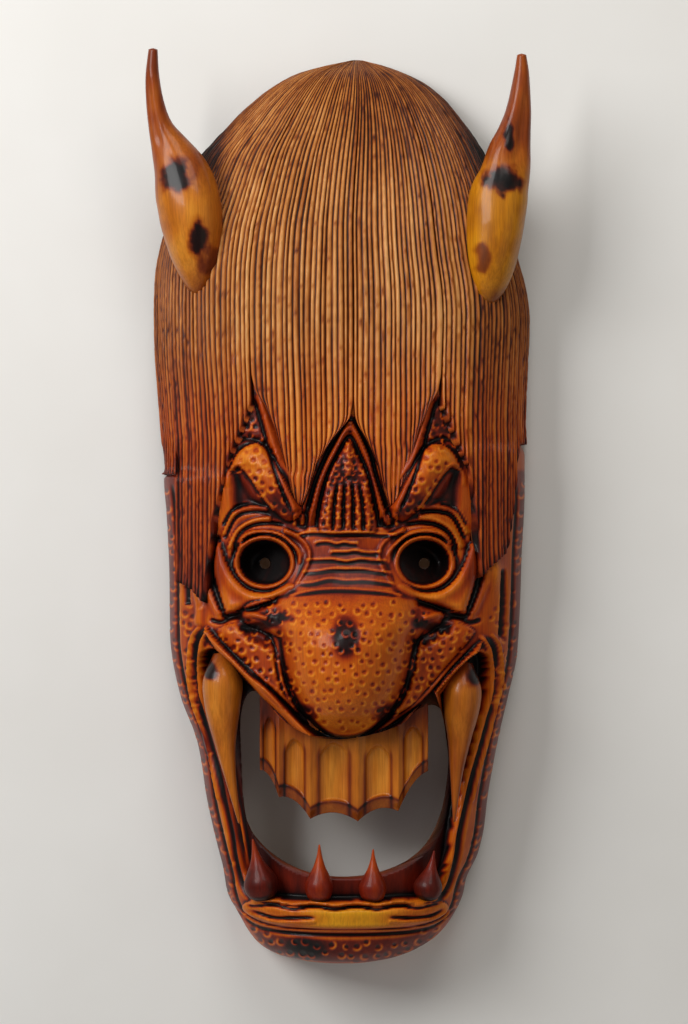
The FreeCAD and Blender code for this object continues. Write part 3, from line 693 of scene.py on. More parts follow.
def carve_face(x, z):
    """The whole carving of the face, at the points of a sheet."""
    r = Relief(x, z)
    r.burn += (cloud(x / 26, z / 26, 3) - 0.5) * 0.22
    for side, centre in ((-1, EYE_LEFT), (1, EYE_RIGHT)):
        r.swell((side * 46, 318), (42, 30), 4.0)
        carve_eye(r, centre, side)
        carve_bag(r, side)
        carve_brow(r, side, 20 + side)
    carve_panel(r)
    carve_bridge(r)
    carve_nose(r)
    for side in (-1, 1):
        carve_cheek(r, side)
    carve_mouth(r)
    carve_sides(r)
    return r


def blurred(values, rounds):
    """A grid of values, evened out with its neighbours."""
    for _ in range(rounds):
        padded = np.pad(values, 1, mode="edge")
        values = (padded[:-2, 1:-1] + padded[2:, 1:-1] + padded[1:-1, :-2] + padded[1:-1, 2:] + values * 2) / 6
    return values


def hollow_depth(x, z):
    """Depth of the back's hollow: the block shrunk by the shell, with a round top and a round bottom."""
    left, right = smooth(LEFT_EDGE, z) - SHELL, smooth(RIGHT_EDGE, z) - SHELL
    share = np.clip(np.abs(x) / np.maximum(np.where(x < 0, left, right), 5), 0, 1)
    upper = np.sqrt(np.clip(1 - ((z - 400) / 62).clip(0) ** 2, 0, 1))
    lower = np.sqrt(np.clip(1 - ((75 - z) / 38).clip(0) ** 2, 0, 1))
    across = (1 - share ** HOLLOW_SQUARENESS) ** (1 / HOLLOW_SQUARENESS)
    return np.clip(smooth(DEPTHS, z) - SHELL, 0, None) * across * (upper * lower)


def gouged(x, z, seed):
    """Shallow scoops left by a round gouge, 0 to 1."""
    random = np.random.default_rng(seed)
    best = np.full(x.shape, 1e9)
    for row in np.arange(20, 480, 13.0):
        for col in np.arange(-120, 121, 11.0):
            px, pz = col + random.uniform(-4, 4), row + random.uniform(-5, 5)
            w = np.where((np.abs(x - px) < 16) & (np.abs(z - pz) < 20))
            d = ((x[w] - px) / 7.5) ** 2 + ((z[w] - pz) / 11) ** 2
            best[w] = np.minimum(best[w], d)
    return 1 - np.clip(best, 0, 1.6) / 1.6


def outlines():
    """The holes that go right through, as closed paths."""
    angle = np.linspace(0, 2 * math.pi, 41)
    paths = [spline(MOUTH_HOLE, closed=True)]
    for x, z in (EYE_LEFT, EYE_RIGHT):
        paths.append(np.stack([x + PUPIL * np.cos(angle), z + PUPIL_DROP + PUPIL * np.sin(angle)], axis=1))
    return paths


def snap_to_holes(x, z, reach):
    """Moves points near a hole onto its outline; side is 1 outside the holes, 0 on an outline and -1 inside."""
    side = np.ones(x.shape, int)
    for path in outlines():
        x, z, at = snap(x, z, path, reach)
        side = np.minimum(side, at)
    return x, z, side


def build_face(material):
    """The carved block: face in front, hollow and pocket behind, one closed solid."""
    angles = spaced_angles(lambda share: np.where(share < 0.55, FACE_PITCH, RIM_PITCH))
    rows = np.concatenate([np.arange(0, 48, FACE_PITCH), np.arange(48, 140, JAW_PITCH),
                           np.arange(140, 350, FACE_PITCH), np.arange(350, UNDER_HAIR, RIM_PITCH),
                           np.arange(UNDER_HAIR, 595, 6.0), [TOP]])
    a, z = np.meshgrid(angles, rows)
    x, base = section(a, z)
    reach = np.maximum(np.gradient(x, axis=1), np.gradient(z, axis=0)).ravel() * SNAP
    flat_x, flat_z, side = snap_to_holes(x.ravel(), z.ravel(), reach)
    x, z = flat_x.reshape(x.shape), flat_z.reshape(z.shape)
    relief = carve_face(x, z)
    out = relief.out * ease((UNDER_HAIR - z) / 12)
    # Painted shade and light: points sunk below their neighbours darken and raised points lighten, at a fine and a wide
    # scale, over the scorching.
    recess_shade = blurred(out, 6) - out
    wide_recess_shade = blurred(out, 60) - out
    burn = relief.burn + np.clip(recess_shade * 0.5, -0.12, 0.5) + np.clip(wide_recess_shade * 0.045, -0.1, 0.3)
    slope = np.sin(a) * ease((np.abs(np.sin(a)) - 0.55) / 0.4)
    points = place(x + out * slope * 0.8, np.maximum(base + out * (1 - np.abs(slope) * 0.6), 0), crown(z))
    shrink = np.linspace(0.05, 1, CAP_ROWS, endpoint=False)
    cap = [place(x[0] * k, np.maximum(base[0] + out[0], 0) * k, z[0]) for k in shrink]
    points = np.vstack(cap + [points])
    cap_size = len(angles) * CAP_ROWS
    side = np.concatenate([np.ones(cap_size, int), side])
    burn = np.concatenate([np.full(cap_size, 0.6), burn.ravel()])
    tint = np.concatenate([np.zeros(cap_size), relief.tint.ravel()])
    faces = cut_open(grid_faces(len(rows) + CAP_ROWS, len(angles)), side)

    back_angles = spaced_angles(lambda share: np.full(share.shape, BACK_PITCH))
    back_rows = np.arange(1.5, 595, BACK_PITCH)
    ba, bz = np.meshgrid(back_angles, back_rows)
    bx, _ = section(ba, bz)
    fx, fz, back_side = snap_to_holes((bx * BACK_INSET).ravel(), bz.ravel(), BACK_PITCH * SNAP)
    fx, fz, pocket_side = snap(fx, fz, spline(POCKET, closed=True, steps=3), BACK_PITCH * SNAP)
    deep = hollow_depth(fx, fz)
    front = skin_depth(fx, fz) + np.minimum(carve_face(fx, fz).out, 0)
    deep = np.clip(np.minimum(deep, front - THINNEST), 0, None)
    deep += ease(deep / 12) * gouged(fx, fz, 5) * 0.9
    deep = np.where(pocket_side < 0, POCKET_DEPTH, deep)
    back_points = place(fx, deep, crown(fz))
    back_faces = cut_open(grid_faces(len(back_rows), len(back_angles), flip=True), back_side)
    points, faces = close_sheets(points, faces, back_points, back_faces)
    back_burn = 0.3 + cloud(fx / 40, fz / 60, 9) * 0.25 + ease(deep / 30) * 0.1
    burn = np.concatenate([burn, back_burn])
    tint = np.concatenate([tint, np.zeros(len(back_points))])
    bare = np.concatenate([np.zeros(len(side)), np.ones(len(back_points))])
    make_piece("carved_face", points, faces, "mask", "carved_wood", material, ["mask_body"],
               burn=burn.clip(0, 1), tint=tint, bare=bare)


# ---- hair ----
def hair_end(angles):
    """Height at which each combed line of the side hair ends."""
    line = np.array(HAIRLINE, float)
    end = np.full(angles.shape, 320.0)
    for _ in range(40):
        x, _ = section(angles, np.maximum(end, HANG_FROM), HAIR_LIFT)
        end += (np.interp(x, line[:, 0], line[:, 1]) - end) * 0.5
    return end


def angle_at(x, z):
    """Angle round the section of points of the bare skin, from their x."""
    middle, left, right = half_widths(z)
    off = x - middle
    edge = np.where(off < 0, left, right)
    return np.sign(off) * np.arcsin(np.clip(np.abs(off) / edge, 0, 1) ** (1 / FULLNESS))


def lock_paths(angles, z, left_edge, right_edge):
    """Keeps the combed lines of a lock straight and gathers the ones that meet its two outlines along them.

    Gives the angles of the lines and how wide each still is, 1 where nothing presses on it."""
    x, _ = section(angles, z)
    bent, squeeze = x, 1.0
    for side, edge in ((1, left_edge), (-1, right_edge)):
        heights, places = np.array(edge, float)[:, 1], np.array(edge, float)[:, 0]
        bound = np.interp(z[:, :1], heights, places)
        own = side * (bent - bound)
        gathered = GATHER * np.logaddexp(0, own / GATHER) + 0.02 * np.minimum(own, 0)
        reach = ease((heights[-1] + 12 - z[:, :1]) / 14)
        bent = bent + side * (gathered - own) * reach
        squeeze = squeeze * (1 - reach / (1 + np.exp(own / GATHER)))
    return angle_at(bent, z), squeeze


def build_hair(material):
    """Combed hair: grooved sheets over the crown, whose strands fan out from the whorl and close into locks."""
    angles = spaced_angles(lambda share: np.full(share.shape, STRAND / PER_STRAND))
    strands = len(angles) // PER_STRAND
    count = strands * PER_STRAND + 1
    angles = np.interp(np.linspace(0, 1, count), np.linspace(0, 1, len(angles)), angles)
    strand = np.arange(count) / PER_STRAND
    edges = np.arange(strands + 1) + (rng.random(strands + 1) - 0.5) * 0.42
    edges[0], edges[-1] = 0, strands
    angles = np.interp(np.interp(strand, np.arange(len(edges)), edges), strand, angles)
    at_peaks, _ = section(angles[::PER_STRAND], np.full(strands + 1, 366.0))
    splits = [0] + [int(np.argmin(np.abs(at_peaks - x))) * PER_STRAND for x in HAIR_PEAKS] + [count - 1]
    points, faces, burns, warmths = [], [], [], []
    total = 0
    for k, (first, last) in enumerate(zip(splits, splits[1:])):
        column = np.arange(first, last + 1)
        shell, shell_faces, burn, warmth = hair_shell(column, angles[column], LOCK_EDGES.get(k))
        points.append(shell)
        faces += [tuple(v + total for v in f) for f in shell_faces]
        burns.append(burn)
        warmths.append(warmth)
        total += len(shell)
    points, burn = np.vstack(points), np.concatenate(burns)
    make_piece("combed_hair", points, faces, "mask", "carved_wood", material, [],
               burn=burn.clip(0, 1), tint=np.concatenate(warmths), bare=np.zeros(len(points)))


def hair_shell(column, angles, lock):
    """One closed sheet of whole strands, from the whorl to the lower ends; lock gives a lock's two outlines.

    Gives its points and faces, how dark each point is from scorching and from painted shade, and how warm in colour it
    is."""
    t = 1 - (1 - np.linspace(0, 1, HAIR_ROWS)[:, None]) ** 1.1
    end = np.full(angles.shape, LOCK_TIP_HEIGHT) if lock else hair_end(angles)
    z = TOP + (end[None, :] - TOP) * t
    a = np.broadcast_to(angles, z.shape)
    narrow = 1.0
    if lock:
        a, narrow = lock_paths(a, z, *lock)
    else:
        hung, _ = section(a, np.maximum(z, HANG_FROM))
        a = np.where(z < HANG_FROM, angle_at(hung, z), a)
    strand = column[None, :] / PER_STRAND
    number = np.floor(strand)
    sway = (noise(strand / 4, z / 60, 17) - 0.5) * 0.010 + (noise(number * 1.3, z / 30, 19) - 0.5) * 0.0025
    inward = np.minimum(column - column[0], column[-1] - column)[None, :]
    swayed = a + sway * ease((TOP - z) / 60) * np.cos(a) * ease(inward / 12) * narrow ** 2
    cut = np.array(STRAND_CUT)[column % PER_STRAND][None, :]
    gap = z - end[None, :]
    x, _ = section(a, z)
    combed = np.exp(-gap / 10) * (np.abs(np.abs(x) - 71) < 13) * (0 if lock else 1)
    deep = (0.6 + 0.7 * noise(strand * 0.9, z / 60, 21)) * (0.1 + 0.9 * narrow) * (1 + 1.6 * combed)
    near_crown = ease((TOP - z) / 70) * 0.75 + 0.25
    level = (noise(number * 1.7, z / 90, 25) - 0.5) * 1.2 * near_crown
    fleck = np.clip(noise(number * 3.1 + 0.5, z / 4.5, 29) - 0.74, 0, 1) * 4
    bark = noise(strand * 1.6, z / 3.2, 39) - 0.5
    ridge = np.isin(column % PER_STRAND, (2, 3, 4))[None, :]
    lift = HAIR_LIFT + cut * deep * near_crown + level - fleck * ridge * 0.6 + bark * 0.35
    lift = lift * ease(gap / 5 + 0.55) + 0.6 * np.exp(-(gap / 9) ** 2)
    lift[-1] = -2.5
    x, depth = section(swayed, z, lift)
    points = place(x, depth, crown(z))
    rows, cols = z.shape
    faces = [tuple(f) for f in grid_faces(rows, cols, flip=True).tolist()]
    burn = 0.17 - np.minimum(cut, 0) * (0.42 + 0.25 * combed) * (0.7 + 0.6 * noise(strand, z / 50, 41))
    burn = burn + fleck * ridge * 0.35 + bark * 0.14 + (noise(number * 2.3, z / 120, 33) - 0.5) * 0.28
    burn = burn + (cloud(x / 30, z / 70, 35) - 0.5) * 0.3 + 0.16 * ease((z - 500) / 80) + 0.12 * ease((350 - z) / 50)
    # The |sin a| term and the two terms in x darken the hair towards both sides, where it turns away from the front:
    # painted shade.
    burn = burn + 0.12 * np.abs(np.sin(a)) ** 6 + 0.2 * np.exp(-(gap / 6) ** 2) + 0.12 * ease((x - 70) / 25)
    burn = burn + 0.28 * np.exp(-((np.abs(x) - 92) / 13) ** 2 - ((z - 535) / 26) ** 2)
    burn = burn + 0.1 * ease((-x - 72) / 22) + 0.3 * (1 - narrow) * ease((gap - 8) / 10)
    warmth = ease((430 - z) / 90) * 0.8
    low, coarse = every(rows, 5), every(cols, 6)
    pick = np.ix_(low, coarse)
    bx, bd = section(a[pick], z[pick], -1.5)
    back = place(bx * 0.999, bd, crown(z[pick]))
    back_faces = [tuple(f) for f in grid_faces(len(low), len(coarse)).tolist()]
    solid, all_faces = close_sheets(points, faces, back, back_faces)
    burn = np.concatenate([burn.ravel(), np.full(len(back), 0.5)])
    return solid, all_faces, burn, np.concatenate([warmth.ravel(), np.zeros(len(back))])


# ---- horns, fangs and teeth ----
HORN_LEFT = [(-96.4, 52, 440, 1.5), (-96.2, 53, 446, 8.5), (-97.5, 55, 464, 16.4), (-100, 56, 486, 20.4),
             (-103, 56, 504, 21.0), (-107.5, 56, 520, 18.6), (-115, 57, 536, 13.2), (-121.3, 59, 550, 8.4),
             (-124.8, 61, 565, 6.0), (-126.5, 63, 583, 4.6), (-126, 64, 601, 3.0)]
HORN_RIGHT = [(91.7, 52, 432, 1.5), (92.5, 53, 440, 9.0), (95, 55, 458, 15.6), (98.5, 56, 484, 19.0),
              (101, 56, 505, 19.2), (104.5, 57, 519, 16.6), (107.5, 57, 535, 14.2), (110.5, 58, 547, 11.2),
              (113.5, 60, 562, 8.2), (115.5, 62, 584, 5.2), (115.5, 64, 597.5, 3.0)]
FANG_LEFT = [(-81, 60, 205, 6.0), (-80.5, 62, 189, 13.6), (-80.5, 63, 170, 12.2), (-78.5, 64, 144, 6.9),
             (-74.5, 66, 120, 3.5), (-69.5, 68, 95, 0.9)]
FANG_RIGHT = [(78, 60, 199, 5.5), (77, 62, 184, 12.6), (76, 63, 169, 12.4), (74.5, 64, 148, 7.9),
              (72.5, 66, 126, 4.3), (71, 68, 96, 0.9)]
LOWER_TEETH = {"outer_left": (-53.0, 64.0, 11.2, 83.5, -11.0), "inner_left": (-17.0, 74.0, 9.2, 81.0, 0.0),
               "inner_right": (18.0, 74.0, 8.9, 78.0, 0.0), "outer_right": (53.0, 64.0, 9.4, 76.0, 9.0)}
TEETH_CUSPS = [(-56, 129), (-43.5, 111.5), (-23, 97.5), (8, 96), (34.5, 102.5), (54, 128.5)]
TEETH_TOP = 182.0
FLUTE_TOPS = [165, 151, 149, 147, 159]
TEETH_FRONT = 76.0
TEETH_BACK = 64.0
TEETH_BOW = 260.0


def tube(stations, around, rings):
    """Rings of a tapered limb through (x, depth, height, radius) stations.

    Gives each ring's centre, radius and two directions, and for each point its angle, 0 facing the front, and how
    far along the limb it is."""
    path = spline(stations, steps=8)
    gap = np.linalg.norm(np.diff(path[:, :3], axis=0), axis=1)
    far = np.concatenate([[0], np.cumsum(gap)])
    at = np.linspace(0, far[-1], rings)
    centre = np.stack([np.interp(at, far, path[:, k]) for k in range(3)], axis=1)
    radius = np.interp(at, far, path[:, 3])
    along = np.gradient(centre, axis=0)
    along /= np.linalg.norm(along, axis=1)[:, None]
    front = np.array([0.0, 1.0, 0.0]) - along * along[:, 1:2]
    front /= np.linalg.norm(front, axis=1)[:, None]
    side = np.cross(along, front)
    angle = np.linspace(0, 2 * math.pi, around, endpoint=False)
    turn = np.broadcast_to(angle, (rings, around))
    share = np.broadcast_to((at / far[-1])[:, None], (rings, around))
    return centre, radius, front, side, turn, share


def limb(stations, around, rings, shape):
    """Closed tapered limb; shape(share, angle, radius) gives the radius at each point."""
    centre, radius, front, side, turn, share = tube(stations, around, rings)
    r = shape(share, turn, np.broadcast_to(radius[:, None], share.shape))
    p = (centre[:, None, :] + front[:, None, :] * (r * np.cos(turn))[..., None]
         + side[:, None, :] * (r * np.sin(turn))[..., None])
    rings_points = p.reshape(-1, 3)
    first = centre[0] - (centre[1] - centre[0]) * 0.4
    last = centre[-1] + (centre[-1] - centre[-2]) * 0.8
    all_points = np.vstack([rings_points, first, last])
    i = np.arange(rings * around).reshape(rings, around)
    nxt = np.roll(i, -1, axis=1)
    faces = [tuple(q) for q in np.stack([i[:-1], nxt[:-1], nxt[1:], i[1:]], axis=-1).reshape(-1, 4).tolist()]
    base, tip = len(rings_points), len(rings_points) + 1
    faces += [(int(b), int(a), base) for a, b in zip(i[0], nxt[0])]
    faces += [(int(a), int(b), tip) for a, b in zip(i[-1], nxt[-1])]
    flat_share = np.concatenate([share.ravel(), [0, 1]])
    flat_turn = np.concatenate([turn.ravel(), [0, 0]])
    return all_points, faces, flat_share, flat_turn


def spots(points, marks):
    """How scorched the marks (x, height, half width, half height, scorch strength) make each point, 0 away from them.
    """
    burn = np.zeros(len(points))
    for x, z, wide, high, strength in marks:
        r = np.hypot((points[:, 0] - x) / wide, (points[:, 2] - z) / high)
        r = r + (cloud(points[:, 0] / 6, points[:, 2] / 8, 71) - 0.5) * 1.5
        burn = np.maximum(burn, strength * (0.55 * ease((2.4 - r) / 1.9) + 0.45 * ease((1.3 - r) / 0.9)))
    return burn


def make_limb(node, points, faces, slot_name, material, burn, tint):
    """The carved piece that takes the place of a node, from points in (x, depth, height)."""
    make_piece("carved_" + node, place(*points.T), faces, "mask", slot_name, material, [node],
               burn=burn.clip(0, 1), tint=tint, bare=np.zeros(len(points)))


def build_horn(side_name, stations, marks, creases, tint, material):
    """A horn with scorch marks and painted shade towards its back, and creases given as (start, stop, angle, depth)."""
    def shape(share, turn, radius):
        facets = 1 + 0.03 * np.sin(turn * 3 + share * 9) + 0.02 * (noise(share * 14, turn * 2, 75) - 0.5)
        for start, stop, angle, deep in creases:
            within = ease((share - start) / 0.12) * ease((stop - share) / 0.12)
            off = np.angle(np.exp(1j * (turn - angle)))
            facets = facets - deep * within * np.exp(-(off / 0.5) ** 2)
        return radius * facets

    points, faces, share, turn = limb(stations, 56, 150, shape)
    burn = 0.3 + (cloud(points[:, 0] / 14, points[:, 2] / 26, 77) - 0.5) * 0.36 + 0.16 * ease((share - 0.45) / 0.4)
    # The last term is painted shade: darker round towards the back of the horn, the side that faces the wall.
    burn = burn + 0.22 * ease((0.14 - share) / 0.14) + 0.12 * (1 - np.cos(turn)) / 2
    burn = np.maximum(burn, spots(points, marks))
    make_limb("horn_" + side_name, points, faces, "horn_wood", material, burn, tint * ease((0.62 - share) / 0.2))


def build_fang(side_name, stations, burnt, material):
    """A long tusk, darker at its root, with painted shade towards its back."""
    def shape(share, turn, radius):
        return radius * (1 + 0.05 * np.cos(2 * turn) + 0.03 * (noise(share * 9, turn * 1.5, 79) - 0.5))

    points, faces, share, turn = limb(stations, 40, 90, shape)
    root = ease((0.2 - share) / 0.2)
    x0 = stations[1][0]
    burn = 0.13 + burnt + 0.35 * root + 0.2 * share + (cloud(points[:, 0] / 9, points[:, 2] / 28, 81) - 0.5) * 0.25
    # Painted shade: darker round towards the back of the tusk.
    burn = burn + 0.35 * (1 - np.cos(turn)) / 2
    burn = np.maximum(burn, spots(points, [(x0 + np.sign(x0) * 8, stations[1][2] + 6, 5, 6, 0.95)]))
    make_limb("fang_" + side_name, points, faces, "tooth_wood", material, burn, np.full(len(points), 0.15))


def build_lower_tooth(name, x, depth, radius, tip, lean, material):
    """A blunt-footed, pointed tooth that leans by lean degrees."""
    foot = 44.0
    tall = tip - foot
    slope = math.tan(math.radians(lean))
    table = [(0, 0.45), (0.07, 0.8), (0.2, 0.99), (0.32, 0.98), (0.47, 0.72), (0.62, 0.42), (0.8, 0.2), (1.0, 0.06)]
    stations = [(x + slope * tall * t, depth + 1.5 * t, foot + tall * t, radius * r) for t, r in table]

    def shape(share, turn, radius):
        return radius * (1 + 0.035 * np.cos(3 * turn + 1) + 0.03 * (noise(share * 7, turn * 1.6, 83) - 0.5))

    points, faces, share, turn = limb(stations, 36, 60, shape)
    burn = 0.6 + 0.12 * (abs(x) > 30) + 0.1 * (cloud(points[:, 0] / 6, points[:, 2] / 9, 85) - 0.5)
    burn = burn + 0.35 * ease((0.12 - share) / 0.12)
    burn -= 0.14 * ease((share - 0.45) / 0.3)
    make_limb("lower_tooth_" + name, points, faces, "tooth_wood", material, burn, np.zeros(len(points)))


def build_upper_teeth(material):
    """Plate of five teeth, each with a hollow flute under a round arch and a chamfer at its foot."""
    cusps = np.array(TEETH_CUSPS, float)
    across = np.linspace(0, 1, 201)
    span = np.interp(across, np.linspace(0, 1, len(cusps)), np.arange(len(cusps)))
    tooth = np.minimum(span.astype(int), len(cusps) - 2)
    u = span - tooth
    off = np.abs(2 * u - 1)
    foot_x = np.interp(span, np.arange(len(cusps)), cusps[:, 0])
    foot_z = np.interp(span, np.arange(len(cusps)), cusps[:, 1]) + 5.0 * (1 - off ** 2)
    z = foot_z + (TEETH_TOP - foot_z) * np.linspace(0, 1, 110)[:, None] ** 1.1
    x = np.broadcast_to(foot_x, z.shape)
    above = z - foot_z
    bow = TEETH_BOW - np.sqrt(TEETH_BOW ** 2 - x ** 2)
    s = off / 0.62
    arch = np.array(FLUTE_TOPS)[tooth] - 8 * s ** 2
    flute = np.clip(1 - s ** 2, 0, 1) ** 0.6 * ease((above - 7.5) / 2.0) * ease((arch - z) / 4)
    crest = np.clip((off - 0.62) / 0.38, 0, 1) * ease(above / 6) * ease((172 - z) / 20)
    front = TEETH_FRONT - bow - 3.4 * flute + 2.0 * crest - np.clip(8 - above, 0, 8) * 0.5
    front = front + (noise(x / 7, z / 16, 91) - 0.5) * 0.6
    front[:, 0] -= 2.5
    front[:, -1] -= 2.5
    back = TEETH_BACK - bow
    rows, cols = z.shape
    faces = [tuple(f) for f in grid_faces(rows, cols).tolist()]
    low, coarse = every(rows, 5), every(cols, 4)
    pick = np.ix_(low, coarse)
    back_faces = [tuple(f) for f in grid_faces(len(low), len(coarse), flip=True).tolist()]
    points, faces = close_sheets(place(x, front, z), faces, place(x[pick], back[pick], z[pick]), back_faces)
    burn = 0.32 - 0.16 * flute + 0.3 * np.exp(-((s - 1.05) / 0.14) ** 2) * ease((arch - z + 6) / 6)
    burn = burn + 0.35 * np.exp(-((above - 7.5) / 1.3) ** 2) + 0.12 * ease((8 - above) / 3)
    # The term in z is painted shade: darker towards the top, under the overhanging lip.
    burn = burn + 0.3 * ease((z - 146) / 22) + (cloud(x / 8, z / 30, 93) - 0.5) * 0.3
    burn = np.concatenate([burn.ravel(), np.full(len(low) * len(coarse), 0.6)])
    make_piece("carved_upper_teeth", points, faces, "mask", "tooth_wood", material, ["upper_teeth"],
               burn=burn.clip(0, 1), tint=np.full(len(points), 0.15), bare=np.zeros(len(points)))


# ---- materials ----
class Shader:
    """A material's node tree, with short ways to add and join nodes."""

    def __init__(self, name):
        self.material = bpy.data.materials.new(name)
        self.material.use_nodes = True
        self.tree = self.material.node_tree
        self.surface = self.tree.nodes["Principled BSDF"]

    def add(self, kind, **settings):
        node = self.tree.nodes.new(kind)
        for key, value in settings.items():
            setattr(node, key, value)
        return node

    def join(self, source, target):
        self.tree.links.new(source, target)

    def math(self, operation, a, b, clamp=False):
        node = self.add("ShaderNodeMath", operation=operation, use_clamp=clamp)
        for socket, value in zip(node.inputs, (a, b)):
            if isinstance(value, (int, float)):
                socket.default_value = value
            else:
                self.join(value, socket)
        return node.outputs[0]

    def noise(self, scale, stretch=(1, 1, 1), detail=4.0, roughness=0.6):
        where = self.add("ShaderNodeTexCoord")
        size = self.add("ShaderNodeMapping")
        size.inputs["Scale"].default_value = stretch
        self.join(where.outputs["Object"], size.inputs["Vector"])
        node = self.add("ShaderNodeTexNoise")
        node.inputs["Scale"].default_value = scale
        node.inputs["Detail"].default_value = detail
        node.inputs["Roughness"].default_value = roughness
        self.join(size.outputs["Vector"], node.inputs["Vector"])
        return node.outputs["Fac"]

    def ramp(self, source, stops):
        node = self.add("ShaderNodeValToRGB")
        ramp = node.color_ramp
        while len(ramp.elements) < len(stops):
            ramp.elements.new(0.5)
        for element, (at, colour) in zip(ramp.elements, stops):
            element.position = at
            element.color = (*colour, 1)
        self.join(source, node.inputs["Fac"])
        return node.outputs["Color"]

    def mix(self, factor, a, b, blend="MIX"):
        node = self.add("ShaderNodeMix", data_type="RGBA", blend_type=blend)
        for socket, value in zip((node.inputs[0], node.inputs[6], node.inputs[7]), (factor, a, b)):
            if isinstance(value, (int, float)):
                socket.default_value = value
            elif isinstance(value, tuple):
                socket.default_value = (*value, 1)
            else:
                self.join(value, socket)
        return node.outputs[2]

    def attribute(self, name):
        return self.add("ShaderNodeAttribute", attribute_name=name).outputs["Fac"]

    def bump(self, height, strength, distance):
        node = self.add("ShaderNodeBump")
        node.inputs["Strength"].default_value = strength
        node.inputs["Distance"].default_value = distance
        self.join(height, node.inputs["Height"])
        self.join(node.outputs["Normal"], self.surface.inputs["Normal"])


def varnished_wood(name, palette, other, gloss, coat):
    """Scorched wood under varnish: its colour runs through a palette, to black, with a value per point that holds the
    scorching together with painted shade and painted highlights.
    """
    s = Shader(name)
    grain = s.noise(210, (1, 1, 0.07), 5)
    pores = s.noise(900, (1, 1, 0.05), 3)
    patches = s.noise(34, (1, 1, 0.5), 4)
    burn = s.math("ADD", s.attribute("burn"), s.math("MULTIPLY", s.math("SUBTRACT", patches, 0.5), 0.3))
    burn = s.math("ADD", burn, s.math("MULTIPLY", s.math("SUBTRACT", grain, 0.5), 0.22), clamp=True)
    colour = s.ramp(burn, palette)
    honey = s.ramp(burn, other)
    colour = s.mix(s.attribute("tint"), colour, honey)
    # The bare back of the hollow is dark brown, darker than raw wood: painted shade for the inside of the hollow.
    plain = s.ramp(grain, [(0.3, (0.1, 0.04, 0.014)), (0.7, (0.19, 0.085, 0.03))])
    colour = s.mix(s.attribute("bare"), colour, plain)
    fibres = s.ramp(pores, [(0.35, (0.72, 0.72, 0.72)), (0.6, (1, 1, 1))])
    colour = s.mix(0.8, colour, fibres, "MULTIPLY")
    s.join(colour, s.surface.inputs["Base Color"])
    rough = s.math("ADD", s.math("MULTIPLY", patches, 0.3), gloss)
    rough = s.math("ADD", rough, s.math("MULTIPLY", s.attribute("bare"), 0.3))
    s.join(rough, s.surface.inputs["Roughness"])
    s.surface.inputs["Specular IOR Level"].default_value = 0.16
    s.surface.inputs["Coat Weight"].default_value = coat
    s.surface.inputs["Coat Roughness"].default_value = 0.1
    s.surface.inputs["Coat IOR"].default_value = 1.4
    s.bump(s.math("ADD", grain, s.math("MULTIPLY", pores, 0.4)), 0.35, 0.0004)
    return s.material


CARVED = [(0.0, (0.72, 0.21, 0.012)), (0.2, (0.58, 0.12, 0.004)), (0.4, (0.42, 0.052, 0.002)),
          (0.6, (0.17, 0.011, 0.002)), (0.8, (0.032, 0.003, 0.002)), (1.0, (0.003, 0.002, 0.002))]
HONEY = [(0.0, (0.72, 0.34, 0.01)), (0.3, (0.55, 0.2, 0.005)), (0.55, (0.24, 0.05, 0.003)),
         (0.8, (0.03, 0.005, 0.002)), (1.0, (0.004, 0.002, 0.002))]
HAIR = [(0.0, (0.74, 0.36, 0.12)), (0.22, (0.56, 0.21, 0.045)), (0.42, (0.35, 0.095, 0.013)),
        (0.62, (0.12, 0.022, 0.004)), (0.82, (0.02, 0.005, 0.003)), (1.0, (0.004, 0.003, 0.002))]
HORN = [(0.0, (0.74, 0.29, 0.04)), (0.22, (0.52, 0.145, 0.013)), (0.45, (0.30, 0.055, 0.005)),
        (0.65, (0.12, 0.013, 0.003)), (0.82, (0.02, 0.004, 0.003)), (1.0, (0.004, 0.003, 0.003))]


def plain_metal(name, colour, roughness):
    """Brushed metal."""
    s = Shader(name)
    scratch = s.noise(700, (0.06, 1, 1), 3)
    shade = s.ramp(scratch, [(0.3, tuple(c * 0.72 for c in colour)), (0.7, colour)])
    s.join(shade, s.surface.inputs["Base Color"])
    s.join(s.math("ADD", s.math("MULTIPLY", scratch, 0.2), roughness), s.surface.inputs["Roughness"])
    s.surface.inputs["Metallic"].default_value = 1.0
    s.bump(scratch, 0.2, 0.0002)
    return s.material


def raw_wood(name):
    """Unvarnished wood."""
    s = Shader(name)
    grain = s.noise(240, (1, 1, 0.1), 5)
    s.join(s.ramp(grain, [(0.3, (0.36, 0.2, 0.09)), (0.7, (0.6, 0.4, 0.22))]), s.surface.inputs["Base Color"])
    s.surface.inputs["Roughness"].default_value = 0.65
    s.bump(grain, 0.3, 0.0003)
    return s.material


def paint_node(node, material):
    """Gives a CAD node that keeps its shape a better material."""
    mesh_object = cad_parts[node]
    for material_slot in mesh_object.material_slots:
        material_slot.material = material


